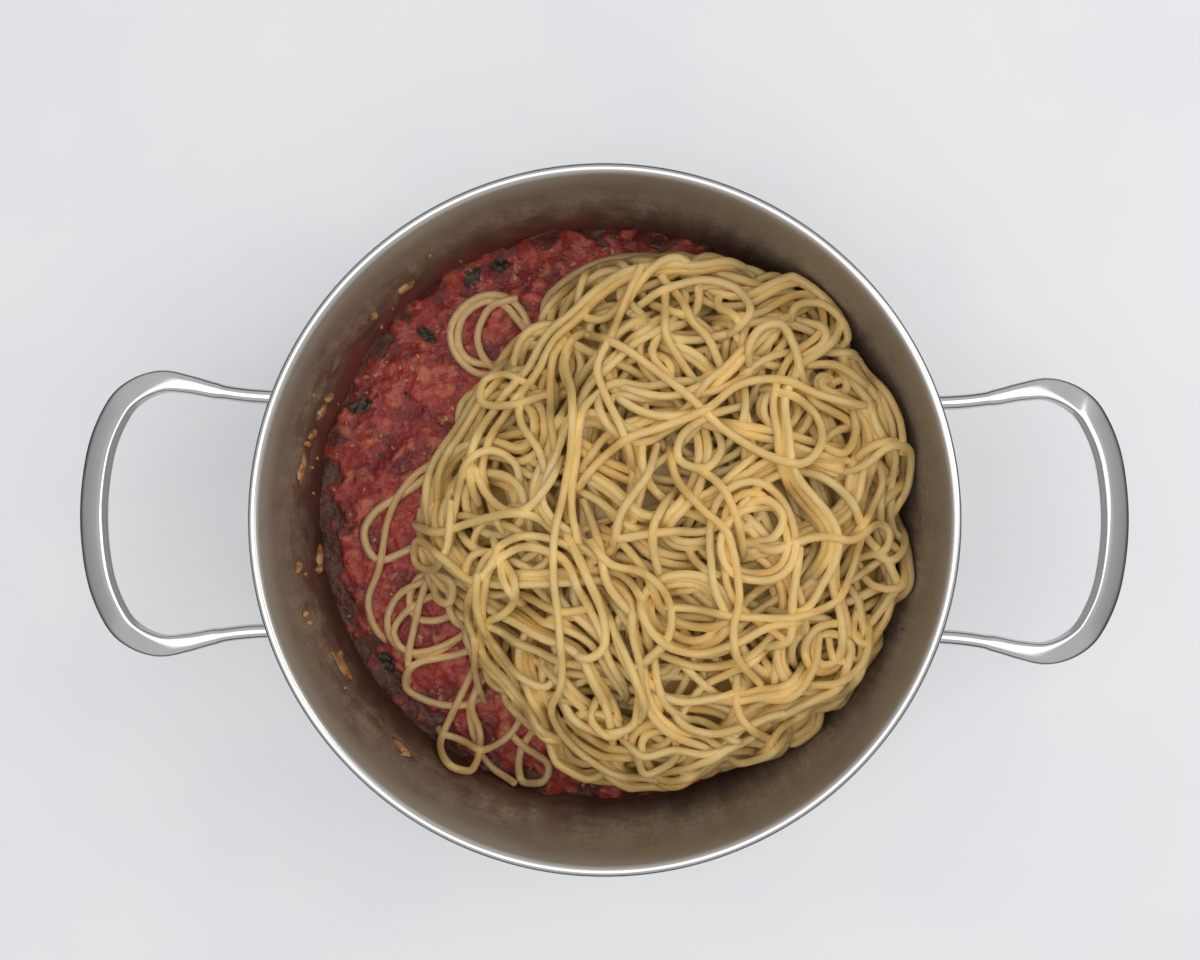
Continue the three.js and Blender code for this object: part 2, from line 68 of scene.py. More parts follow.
class Slot(Enum):
    """The record's material slots."""

    STEEL = "steel"
    POLISHED = "polished_steel"
    SAUCE = "sauce"
    PASTA = "pasta"
    ONION = "onion"
    HERB = "herb"


# ---- Numbers and curves ----


def srgb(red: int, green: int, blue: int) -> tuple[float, float, float, float]:
    """Turns a colour as seen on a screen into Blender's linear one.

    Args:
        red: Red from 0 to 255.
        green: Green from 0 to 255.
        blue: Blue from 0 to 255.

    Returns:
        The linear colour with full alpha.
    """
    parts = [c / 255 for c in (red, green, blue)]
    linear = [c / 12.92 if c <= 0.04045 else ((c + 0.055) / 1.055) ** 2.4 for c in parts]
    return (*linear, 1.0)


def smoothstep(value: np.ndarray | float, low: float, high: float) -> np.ndarray:
    """Rises smoothly from 0 at `low` to 1 at `high`.

    Args:
        value: Where to measure.
        low: Where the rise starts.
        high: Where it ends.

    Returns:
        The risen share, of the same shape as `value`.
    """
    share = np.clip((np.asarray(value, float) - low) / (high - low), 0, 1)
    return share * share * (3 - 2 * share)


def ripple(x: np.ndarray, y: np.ndarray, size: float) -> np.ndarray:
    """Slow, smooth unevenness from -1 to 1.

    Args:
        x: Places along X.
        y: Places along Y.
        size: About one wavelength.

    Returns:
        The unevenness at each place.
    """
    u, v = x / size, y / size
    first = np.sin(u * 5.1 + 1.3 * np.sin(v * 3.7))
    second = np.sin(v * 6.3 + 1.7 * np.sin(u * 4.3 + 2))
    return (first + second) / 2


def arc(centre: tuple[float, float], radius: float, start: float, end: float, steps: int) -> list[tuple]:
    """Points along a circular arc.

    Args:
        centre: Middle of the circle.
        radius: Its radius.
        start: First angle.
        end: Last angle.
        steps: Number of stretches between points.

    Returns:
        The points, both ends among them.
    """
    turns = np.radians(np.linspace(start, end, steps + 1))
    return [(centre[0] + radius * math.cos(t), centre[1] + radius * math.sin(t)) for t in turns]


def spaced(line: np.ndarray, step: float) -> np.ndarray:
    """Spaces the points of a line evenly.

    Args:
        line: Points of the line, one a row.
        step: About how far apart they come to lie.

    Returns:
        The new points.
    """
    gone = np.concatenate([[0], np.cumsum(np.linalg.norm(np.diff(line, axis=0), axis=1))])
    places = np.linspace(0, gone[-1], max(2, round(gone[-1] / step) + 1))
    return np.stack([np.interp(places, gone, line[:, axis]) for axis in range(line.shape[1])], axis=1)


def smooth_route(points: Sequence[Sequence[float]], step: float) -> np.ndarray:
    """A smooth curve through a few points.

    Args:
        points: Where it passes.
        step: How far apart the curve's own points lie.

    Returns:
        The curve's points.
    """
    p = np.asarray(points, float)
    p = np.vstack([2 * p[0] - p[1], p, 2 * p[-1] - p[-2]])
    t = np.linspace(0, 1, 14, endpoint=False)[:, None]
    pieces = []
    for a, b, c, d in zip(p, p[1:], p[2:], p[3:]):
        bend = (2 * a - 5 * b + 4 * c - d) * t**2 + (3 * b - a - 3 * c + d) * t**3
        pieces.append((2 * b + (c - a) * t + bend) / 2)
    return spaced(np.vstack([*pieces, p[-2]]), step)


# ---- Meshes ----


def ring_quads(rows: int, columns: int, first: int = 0) -> np.ndarray:
    """Quads between neighbouring closed rings.

    Args:
        rows: Number of rings.
        columns: Points in each ring.
        first: Index of the first ring's first point.

    Returns:
        Four indices a row.
    """
    start = first + np.arange(rows - 1)[:, None] * columns
    here = start + np.arange(columns)
    following = start + (np.arange(columns) + 1) % columns
    return np.stack([here, following, following + columns, here + columns], axis=-1).reshape(-1, 4)


def placed(name: str, data: bpy.types.ID) -> bpy.types.Object:
    """Puts a new object into the scene, at the origin.

    Args:
        name: Its name.
        data: Its mesh, camera or light.

    Returns:
        The object.
    """
    piece = bpy.data.objects.new(name, data)
    bpy.context.scene.collection.objects.link(piece)
    return piece


def mark(mesh: bpy.types.Mesh, name: str, values: np.ndarray) -> None:
    """Gives each vertex a value that materials and node trees can read.

    Args:
        mesh: The mesh.
        name: The attribute's name.
        values: One value for each vertex.
    """
    mesh.attributes.new(name, "FLOAT", "POINT").data.foreach_set("value", values)


def lofted(rings: np.ndarray) -> tuple[np.ndarray, list[list[int]]]:
    """A closed skin through rings of equally many points, with a fan over each end.

    Args:
        rings: Array of ring, point and coordinate.

    Returns:
        Its vertices and faces.
    """
    count, columns = rings.shape[:2]
    ends = [rings[0].mean(axis=0), rings[-1].mean(axis=0)]
    vertices = np.vstack([rings.reshape(-1, 3), ends])
    faces = ring_quads(count, columns).tolist()
    last = (count - 1) * columns
    for column in range(columns):
        after = (column + 1) % columns
        faces.append([count * columns, after, column])
        faces.append([count * columns + 1, last + column, last + after])
    return vertices, faces


def new_piece(
    name: str, vertices: np.ndarray, faces: Iterable[Sequence[int]], sharp: float = 40
) -> bpy.types.Object:
    """Makes an object from millimetres, with its doubles merged and its faces pointing outwards.

    Args:
        name: The piece's name.
        vertices: Points in millimetres, one a row.
        faces: Vertex indices of each face.
        sharp: Edges that turn by more than this many degrees stay crisp.

    Returns:
        The object, at the origin.
    """
    mesh = bpy.data.meshes.new(name)
    mesh.from_pydata((np.asarray(vertices) * MM).tolist(), [], list(faces))
    built = bmesh.new()
    built.from_mesh(mesh)
    bmesh.ops.remove_doubles(built, verts=built.verts, dist=MERGED)
    bmesh.ops.recalc_face_normals(built, faces=built.faces)
    built.to_mesh(mesh)
    built.free()
    smooth_but_crisp(mesh, sharp)
    return placed(name, mesh)


def smooth_but_crisp(mesh: bpy.types.Mesh, sharp: float) -> None:
    """Shades a mesh smooth apart from its sharper edges.

    Args:
        mesh: The mesh.
        sharp: Edges that turn by more than this many degrees stay crisp.
    """
    mesh.shade_smooth()
    mesh.set_sharp_from_angle(angle=math.radians(sharp))


def lathe(profile: Sequence[tuple[float, float]], segments: int) -> tuple[np.ndarray, np.ndarray]:
    """Turns a profile about the Z axis.

    Args:
        profile: Radius and height of each point, from axis to axis.
        segments: Number of steps round.

    Returns:
        Vertices and faces, whose poles close once doubles are merged.
    """
    radius, height = np.asarray(profile, float).T
    turns = np.arange(segments) * 2 * math.pi / segments
    x = radius[:, None] * np.cos(turns)
    y = radius[:, None] * np.sin(turns)
    z = np.broadcast_to(height[:, None], x.shape)
    return np.stack([x, y, z], axis=-1).reshape(-1, 3), ring_quads(len(profile), segments)


def joined(parts: Sequence[tuple[np.ndarray, Sequence]]) -> tuple[np.ndarray, list[list[int]]]:
    """Puts several skins into one list of vertices and faces.

    Args:
        parts: Vertices and faces of each.

    Returns:
        All vertices and faces.
    """
    vertices, faces, first = [], [], 0
    for points, skin in parts:
        vertices.append(points)
        faces += [[index + first for index in face] for face in np.asarray(skin, dtype=object).tolist()]
        first += len(points)
    return np.vstack(vertices), faces


def settle_piece(
    piece: bpy.types.Object,
    material: bpy.types.Material,
    slot: Slot,
    *nodes: str,
) -> None:
    """Dresses a finished piece and ties it to the pot.

    Args:
        piece: The object.
        material: What it is made of.
        slot: The record's slot for that; not used.
        nodes: The solids that the piece stands for.
    """
    if not piece.data.materials:
        piece.data.materials.append(material)
    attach(piece, BODY)
    if nodes:
        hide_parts(*nodes)
    triangles = sum(len(face.vertices) - 2 for face in piece.data.polygons)
    log.info("%s: %d triangles", piece.name, triangles)


# ---- Node trees ----


class Graph:
    """Adds nodes to a tree and links them in the same call."""

    def __init__(self, tree: bpy.types.NodeTree) -> None:
        """Starts with the tree to fill."""
        self.tree = tree

    def add(self, kind: str, inputs: dict | None = None, **settings: object) -> bpy.types.Node:
        """Adds one node.

        Args:
            kind: Its type.
            inputs: Links or values by a socket's identifier, name or place.
            settings: Its own properties.

        Returns:
            The node.
        """
        node = self.tree.nodes.new(kind)
        for name, value in settings.items():
            setattr(node, name, value)
        for key, value in (inputs or {}).items():
            named = [s for s in node.inputs if s.identifier == key]
            socket = named[0] if named else node.inputs[key]
            if isinstance(value, bpy.types.NodeSocket):
                self.tree.links.new(value, socket)
            else:
                socket.default_value = value
        return node

    def math(self, operation: str, *values: object) -> bpy.types.NodeSocket:
        """Adds a sum or other arithmetic.

        Args:
            operation: Blender's name for it.
            values: Its inputs in order.

        Returns:
            The result.
        """
        return self.add("ShaderNodeMath", dict(enumerate(values)), operation=operation).outputs[0]

    def spread(
        self, value: object, low: float, high: float, to_low: object = 0.0, to_high: object = 1.0
    ) -> bpy.types.NodeSocket:
        """Maps a range of values to another one, and holds them inside it.

        Args:
            value: What to map.
            low: Value that becomes `to_low`.
            high: Value that becomes `to_high`.
            to_low: Start of the new range.
            to_high: End of the new range.

        Returns:
            The mapped value.
        """
        inputs = {"Value": value, "From Min": low, "From Max": high, "To Min": to_low, "To Max": to_high}
        return self.add("ShaderNodeMapRange", inputs, interpolation_type="SMOOTHSTEP").outputs[0]

    def mixed(self, share: object, first: object, second: object) -> bpy.types.NodeSocket:
        """Mixes two colours.

        Args:
            share: How much of the second.
            first: A colour.
            second: A colour.

        Returns:
            The mixed colour.
        """
        inputs = {"Factor_Float": share, "A_Color": first, "B_Color": second}
        return self.add("ShaderNodeMix", inputs, data_type="RGBA").outputs[2]

    def noise(self, vector: object, scale: object, detail: float = 2.0) -> bpy.types.NodeSocket:
        """Adds cloudy noise.

        Args:
            vector: Where it is read.
            scale: Waves in a metre.
            detail: Number of finer layers.

        Returns:
            Its value, about 0 to 1.
        """
        inputs = {"Vector": vector, "Scale": scale, "Detail": detail}
        return self.add("ShaderNodeTexNoise", inputs).outputs[0]

    def distance(self, x: object, y: object) -> bpy.types.NodeSocket:
        """How far a place lies from the Z axis.

        Args:
            x: Its place along X.
            y: Its place along Y.

        Returns:
            The distance.
        """
        squares = [self.math("POWER", side, 2.0) for side in (x, y)]
        return self.math("SQRT", self.math("ADD", *squares))


def start_tree(
    name: str, kind: str, inputs: dict[str, str], outputs: dict[str, str]
) -> tuple[Graph, dict, dict]:
    """Makes an empty node group with named sockets.

    Args:
        name: The group's name.
        kind: ShaderNodeTree or GeometryNodeTree.
        inputs: Socket type of each input by name.
        outputs: Socket type of each output by name.

    Returns:
        The graph, the inputs' sockets by name and the outputs' sockets by name.
    """
    tree = bpy.data.node_groups.new(name, kind)
    for socket, form in inputs.items():
        tree.interface.new_socket(socket, in_out="INPUT", socket_type=f"NodeSocket{form}")
    for socket, form in outputs.items():
        tree.interface.new_socket(socket, in_out="OUTPUT", socket_type=f"NodeSocket{form}")
    graph = Graph(tree)
    entry = graph.add("NodeGroupInput")
    leave = graph.add("NodeGroupOutput")
    return (
        graph,
        {socket: entry.outputs[socket] for socket in inputs},
        {socket: leave.inputs[socket] for socket in outputs},
    )


def run_tree(
    name: str,
    source: bpy.types.Mesh,
    tree: bpy.types.NodeTree,
    values: dict[str, object],
    sharp: float = 60,
) -> bpy.types.Object:
    """Runs a Geometry Nodes tree on a mesh and keeps the result as a plain mesh.

    Args:
        name: Name of the new piece.
        source: The mesh that goes in.
        tree: The tree.
        values: Values of its named inputs.
        sharp: Edges that turn by more than this many degrees stay crisp.

    Returns:
        The new object, at the origin and without a modifier.
    """
    carrier = placed(f"{name}_source", source)
    modifier = carrier.modifiers.new("tree", "NODES")
    modifier.node_group = tree
    for item in tree.interface.items_tree:
        if item.item_type == "SOCKET" and item.in_out == "INPUT" and item.name in values:
            modifier[item.identifier] = values[item.name]
    evaluated = carrier.evaluated_get(bpy.context.evaluated_depsgraph_get())
    mesh = bpy.data.meshes.new_from_object(evaluated)
    mesh.name = name
    smooth_but_crisp(mesh, sharp)
    bpy.data.objects.remove(carrier)
    return placed(name, mesh)


# ---- Finishes ----


class SharedEffects:
    """Shader groups that more than one finish uses, built once."""

    def __init__(self) -> None:
        """Builds every group."""
        self.mottle = self._mottle()
        self.grain = self._grain()
        self.level = self._level()
        self.turned_lines = self._turned_lines()

    @staticmethod
    def _mottle() -> bpy.types.NodeTree:
        """Cloudy patches between two values."""
        graph, entry, leave = start_tree(
            "mottle",
            "ShaderNodeTree",
            {"Vector": "Vector", "Scale": "Float", "Low": "Float", "High": "Float"},
            {"Value": "Float"},
        )
        cloud = graph.noise(entry["Vector"], entry["Scale"], 3)
        graph.tree.links.new(graph.spread(cloud, 0.36, 0.64, entry["Low"], entry["High"]), leave["Value"])
        return graph.tree

    @staticmethod
    def _grain() -> bpy.types.NodeTree:
        """A bumpy skin with coarse and fine unevenness."""
        graph, entry, leave = start_tree(
            "grain",
            "ShaderNodeTree",
            {"Vector": "Vector", "Coarse": "Float", "Fine": "Float", "Depth": "Float"},
            {"Normal": "Vector"},
        )
        coarse = graph.noise(entry["Vector"], entry["Coarse"])
        fine = graph.noise(entry["Vector"], entry["Fine"])
        height = graph.math("MULTIPLY_ADD", fine, 0.35, coarse)
        bump = graph.add("ShaderNodeBump", {"Height": height, "Distance": entry["Depth"], "Strength": 1.0})
        graph.tree.links.new(bump.outputs[0], leave["Normal"])
        return graph.tree

    @staticmethod
    def _level() -> bpy.types.NodeTree:
        """A mask that is 1 below one height and 0 above another, with a ragged border."""
        graph, entry, leave = start_tree(
            "level",
            "ShaderNodeTree",
            {"Vector": "Vector", "Full": "Float", "Clear": "Float", "Ragged": "Float", "Scale": "Float"},
            {"Mask": "Float"},
        )
        height = graph.add("ShaderNodeSeparateXYZ", {0: entry["Vector"]}).outputs[2]
        cloud = graph.math("SUBTRACT", graph.noise(entry["Vector"], entry["Scale"], 4), 0.5)
        moved = graph.math("MULTIPLY_ADD", cloud, entry["Ragged"], height)
        graph.tree.links.new(graph.spread(moved, entry["Full"], entry["Clear"], 1.0, 0.0), leave["Mask"])
        return graph.tree

    @staticmethod
    def _turned_lines() -> bpy.types.NodeTree:
        """Fine lines that run round the Z axis, as polishing on a lathe leaves them."""
        graph, entry, leave = start_tree(
            "turned_lines",
            "ShaderNodeTree",
            {"Vector": "Vector", "Fineness": "Float"},
            {"Lines": "Float"},
        )
        x, y, z = graph.add("ShaderNodeSeparateXYZ", {0: entry["Vector"]}).outputs
        angle = graph.math("ARCTAN2", y, x)
        inputs = {
            0: graph.math("MULTIPLY", graph.distance(x, y), entry["Fineness"]),
            1: graph.math("MULTIPLY", z, entry["Fineness"]),
            2: graph.math("MULTIPLY", angle, 3.0),
        }
        spot = graph.add("ShaderNodeCombineXYZ", inputs).outputs[0]
        graph.tree.links.new(graph.noise(spot, 1.0, 3), leave["Lines"])
        return graph.tree


class Finish:
    """A procedural material that starts from one Principled shader and Object coordinates."""

    def __init__(self, name: str, effects: SharedEffects, **constants: object) -> None:
        """Makes the material.

        Args:
            name: The material's name.
            effects: The shared groups.
            constants: Values of the shader's own sockets, with underscores for blanks.
        """
        self.material = bpy.data.materials.new(name)
        self.material.use_nodes = True
        self.effects = effects
        self.graph = Graph(self.material.node_tree)
        self.shader = self.material.node_tree.nodes["Principled BSDF"]
        for socket, value in constants.items():
            self.shader.inputs[socket.replace("_", " ")].default_value = value
        self.place = self.graph.add("ShaderNodeTexCoord").outputs["Object"]

    def effect(self, tree: bpy.types.NodeTree, **values: object) -> bpy.types.NodeSocket:
        """Places a shared group.

        Args:
            tree: The group.
            values: Its inputs by name.

        Returns:
            Its first output.
        """
        node = self.graph.add("ShaderNodeGroup", node_tree=tree)
        self.graph.tree.links.new(self.place, node.inputs["Vector"])
        for name, value in values.items():
            if isinstance(value, bpy.types.NodeSocket):
                self.graph.tree.links.new(value, node.inputs[name])
            else:
                node.inputs[name].default_value = value
        return node.outputs[0]

    def attribute(self, name: str) -> bpy.types.NodeSocket:
        """Reads a value that the mesh carries."""
        return self.graph.add("ShaderNodeAttribute", attribute_name=name).outputs["Fac"]

    def drive(self, **sockets: bpy.types.NodeSocket) -> None:
        """Links values that change over the surface to the shader.

        Args:
            sockets: The links by the shader's socket, with underscores for blanks.
        """
        for name, value in sockets.items():
            self.graph.tree.links.new(value, self.shader.inputs[name.replace("_", " ")])


@dataclass(frozen=True)
class PastaFinish:
    """Moist cooked wheat noodles, the lowest of them painted greyer as shade near the sauce."""

    pale: tuple = srgb(210, 182, 121)
    deep: tuple = srgb(206, 170, 102)
    low_painted_shade: tuple = srgb(214, 180, 138)
    packed: tuple = srgb(198, 160, 90)
    depth: float = 0.006

    def build(self, effects: SharedEffects) -> bpy.types.Material:
        """Makes the material.

        Args:
            effects: The shared groups.

        Returns:
            The material.
        """
        finish = Finish(
            "cooked_pasta",
            effects,
            Subsurface_Weight=0.95,
            Subsurface_Radius=(1.0, 0.9, 0.65),
            Subsurface_Scale=self.depth,
            Specular_IOR_Level=0.4,
            Coat_Weight=0.1,
            Coat_Roughness=0.25,
        )
        finish.shader.subsurface_method = "BURLEY"
        graph = finish.graph
        patch = finish.effect(effects.mottle, Scale=60.0, Low=-0.25, High=0.25)
        share = graph.math("ADD", finish.attribute("tint"), patch)
        colour = graph.mixed(graph.spread(share, 0.0, 1.0), self.pale, self.deep)
        colour = graph.mixed(graph.spread(share, 1.2, 1.6), colour, self.packed)
        # painted shade: the noodles lowest in the pot turn greyer, standing in for the dim light near the
        # sauce
        low = finish.effect(effects.level, Full=0.026, Clear=0.05, Ragged=0.03, Scale=45.0)
        colour = graph.mixed(graph.math("MULTIPLY", low, 0.45), colour, self.low_painted_shade)
        rough = finish.effect(effects.mottle, Scale=240.0, Low=0.34, High=0.52)
        normal = finish.effect(effects.grain, Coarse=520.0, Fine=1900.0, Depth=0.00012)
        finish.drive(Base_Color=colour, Roughness=rough, Normal=normal)
        return finish.material


@dataclass(frozen=True)
class SauceFinish:
    """Chopped tomato in its own juice and oil, browned where it is thin."""

    juice: tuple = srgb(170, 62, 56)
    dark: tuple = srgb(118, 42, 42)
    flesh: tuple = srgb(198, 84, 66)
    pink: tuple = srgb(198, 116, 100)
    orange: tuple = srgb(218, 142, 88)
    brown: tuple = srgb(82, 58, 48)

    def build(self, effects: SharedEffects) -> bpy.types.Material:
        """Makes the material.

        Args:
            effects: The shared groups.

        Returns:
            The material.
        """
        finish = Finish(
            "tomato_sauce",
            effects,
            Specular_IOR_Level=0.25,
            Coat_Weight=0.08,
            Coat_Roughness=0.06,
            Subsurface_Weight=0.3,
            Subsurface_Radius=(1.0, 0.3, 0.15),
            Subsurface_Scale=0.002,
        )
        graph = finish.graph
        cloud = finish.effect(effects.mottle, Scale=70.0, Low=0.0, High=1.0)
        speck = finish.effect(effects.mottle, Scale=650.0, Low=0.0, High=1.0)
        base = graph.mixed(cloud, self.dark, self.juice)
        flesh = graph.mixed(speck, self.flesh, self.pink)
        flesh = graph.mixed(finish.attribute("orange"), flesh, self.orange)
        colour = graph.mixed(finish.attribute("flesh"), base, flesh)
        colour = graph.mixed(finish.attribute("thin"), colour, self.brown)
        rough = finish.effect(effects.mottle, Scale=300.0, Low=0.1, High=0.36)
        normal = finish.effect(effects.grain, Coarse=420.0, Fine=1300.0, Depth=0.0011)
        finish.drive(Base_Color=colour, Roughness=rough, Normal=normal)
        return finish.material


@dataclass(frozen=True)
class SoilAndPaintedLightLayer:
    """A coat on the wall that covers it up to one height and is gone above another, in metres: soil in most
    layers, painted light and shade in two.
    """

    full: float
    clear: float
    ragged: float
    scale: float


@dataclass(frozen=True)
class SteelFinish:
    """Stainless steel: turned and cooked in, with painted light and shade inside, or polished."""

    name: str
    bare: tuple
    smooth: float
    rough: float
    line_depth: float
    soiled_and_light_painted: bool = False
    groove: tuple = (0.35, 0.34, 0.33, 1.0)
    hazy: tuple = srgb(186, 182, 176)
    film_with_painted_light: tuple = srgb(142, 130, 114)
    painted_light_film: tuple = srgb(192, 174, 152)
    fond: tuple = srgb(108, 86, 76)
    smear: tuple = srgb(126, 66, 60)
    burnt: tuple = srgb(82, 50, 38)
    within_wall: tuple = (0.1167, 0.1171)
    above_floor: float = 0.0205

    def build(self, effects: SharedEffects) -> bpy.types.Material:
        """Makes the material.

        Args:
            effects: The shared groups.

        Returns:
            The material.
        """
        finish = Finish(self.name, effects, Metallic=1.0, Roughness=0.3)
        graph = finish.graph
        lines = finish.effect(effects.turned_lines, Fineness=2600.0)
        wear = finish.effect(effects.mottle, Scale=35.0, Low=self.smooth, High=self.rough)
        colour = graph.mixed(graph.math("MULTIPLY", lines, 0.25), self.bare, self.groove)
        rough = graph.math("MULTIPLY_ADD", lines, 0.08, wear)
        if self.soiled_and_light_painted:
            colour, rough, metal = self._soil_and_painted_light(finish, colour, rough)
            finish.drive(Metallic=metal)
        bump = graph.add("ShaderNodeBump", {"Height": lines, "Distance": self.line_depth, "Strength": 1.0})
        finish.drive(Base_Color=colour, Roughness=rough, Normal=bump.outputs[0])
        return finish.material

    def _soil_and_painted_light(self, finish: Finish, colour: object, rough: object) -> tuple[object, object, object]:
        """Adds what cooking left inside the wall, haze, a steamed-on coat, fond and smears of sauce, and
        painted light and shade: the coat paler low down and darker over the right side's top band.

        Args:
            finish: The material so far.
            colour: Its colour.
            rough: Its roughness.

        Returns:
            The colour with its soil and painted light and shade, the roughness and the share of metal.
        """
        graph = finish.graph
        effects = finish.effects
        x, y, z = graph.add("ShaderNodeSeparateXYZ", {0: finish.place}).outputs
        inside = graph.spread(graph.distance(x, y), *self.within_wall, 1.0, 0.0)
        inside = graph.math("MULTIPLY", inside, graph.math("GREATER_THAN", z, self.above_floor))
        drawn_out = {0: x, 1: y, 2: graph.math("MULTIPLY", z, 0.12)}
        tall = graph.add("ShaderNodeCombineXYZ", drawn_out).outputs[0]
        streak = finish.effect(effects.mottle, Vector=tall, Scale=230.0, Low=0.05, High=0.6)
        blotch = finish.effect(effects.mottle, Scale=110.0, Low=0.0, High=0.75)
        fine = finish.effect(effects.mottle, Scale=520.0, Low=0.0, High=0.4)
        tone = graph.mixed(graph.spread(y, 0.01, 0.05), self.burnt, self.smear)
        left = graph.spread(x, -0.08, 0.05, 1.0, 0.45)
        # painted shade: the right side's top band is darkened, as it gets less light than the left
        right = graph.spread(x, -0.06, 0.04, 0.0, 0.8)
        # painted light: the wall's coat turns paler low down, where the wall lies in shade near the sauce
        film_with_painted_light = graph.mixed(graph.spread(z, 0.05, 0.1), self.painted_light_film, self.film_with_painted_light)
        colour = graph.mixed(inside, colour, self.hazy)
        metal = graph.math("MULTIPLY_ADD", inside, -0.75, 1.0)
        rough = graph.math("MULTIPLY_ADD", inside, 0.24, rough)
        for layer, shade, strength in (
            # painted shade over the top band on the right side
            (SoilAndPaintedLightLayer(0.1, 0.119, 0.01, 24.0), self.film_with_painted_light, right),
            # the wall's coat, paler low down as painted light
            (SoilAndPaintedLightLayer(0.088, 0.112, 0.012, 24.0), film_with_painted_light, 0.95),
            (SoilAndPaintedLightLayer(0.05, 0.108, 0.04, 55.0), self.fond, streak),
            (SoilAndPaintedLightLayer(0.06, 0.11, 0.06, 80.0), self.burnt, fine),
            (SoilAndPaintedLightLayer(0.035, 0.085, 0.07, 45.0), self.fond, left),
            (SoilAndPaintedLightLayer(0.045, 0.095, 0.1, 60.0), self.burnt, graph.math("MULTIPLY", blotch, left)),
            (SoilAndPaintedLightLayer(0.032, 0.052, 0.05, 75.0), tone, left),
        ):
            mask = finish.effect(
                effects.level, Full=layer.full, Clear=layer.clear, Ragged=layer.ragged, Scale=layer.scale
            )
            mask = graph.math("MULTIPLY", graph.math("MULTIPLY", mask, inside), strength)
            colour = graph.mixed(mask, colour, shade)
            metal = graph.math("MULTIPLY", metal, graph.math("MULTIPLY_ADD", mask, -0.4, 1.0))
        return colour, rough, metal


@dataclass(frozen=True)
class MorselFinish:
    """Small cooked bits: fried onion, basil, seeds."""

    name: str
    pale: tuple
    dark: tuple
    scale: float
    rough: float
    coat: float

    def build(self, effects: SharedEffects) -> bpy.types.Material:
        """Makes the material.

        Args:
            effects: The shared groups.

        Returns:
            The material.
        """
        finish = Finish(self.name, effects, Coat_Weight=self.coat, Coat_Roughness=0.15)
        cloud = finish.effect(effects.mottle, Scale=self.scale, Low=0.0, High=1.0)
        colour = finish.graph.mixed(cloud, self.pale, self.dark)
        rough = finish.effect(effects.mottle, Scale=500.0, Low=self.rough, High=self.rough + 0.18)
        normal = finish.effect(effects.grain, Coarse=700.0, Fine=2400.0, Depth=0.0003)
        finish.drive(Base_Color=colour, Roughness=rough, Normal=normal)
        return finish.material


# ---- The pot ----


@dataclass
class PotBody:
    """The steel pot with its rolled rim and thick foot."""

    rim_radius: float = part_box("pot_body")[1].x / MM
    height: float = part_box("pot_body")[1].z / MM
    wall_radius: float = 117.5
    sheet: float = 1.2
    foot_radius: float = 98.0
    foot_height: float = 5.0
    foot_edge: float = 1.2
    corner_radius: float = 14.0
    bead_radius: float = 1.85
    segments: int = 240

    @property
    def inner_radius(self) -> float:
        """Radius of the straight wall inside."""
        return self.wall_radius - self.sheet

    @property
    def floor(self) -> float:
        """Height of the floor inside."""
        return self.foot_height + self.sheet

    def profile(self) -> list[tuple[float, float]]:
        """The section from the middle of the foot, up the outside, over the rim and down inside."""
        bead = self.bead_radius
        edge = self.foot_edge
        points = [(0.0, 0.0), (self.foot_radius - edge, 0.0)]
        points += arc((self.foot_radius - edge, edge), edge, -90, 0, 4)
        points += [(self.foot_radius, self.foot_height)]
        points += arc(
            (self.wall_radius - self.corner_radius, self.foot_height + self.corner_radius),
            self.corner_radius, -90, 0, 14,
        )
        points += [(self.wall_radius, self.height - 3 * bead)]
        points += arc((self.rim_radius - bead, self.height - bead), bead, -60, 180, 22)
        points += arc(
            (self.inner_radius - self.corner_radius, self.floor + self.corner_radius),
            self.corner_radius, 0, -90, 14,
        )
        return [*points, (0.0, self.floor)]

    def build(self, steel: bpy.types.Material) -> None:
        """Makes and dresses the pot.

        Args:
            steel: Its finish.
        """
        vertices, faces = lathe(self.profile(), self.segments)
        piece = new_piece("pot_shell", vertices, faces.tolist())
        settle_piece(piece, steel, Slot.STEEL, "pot_body")


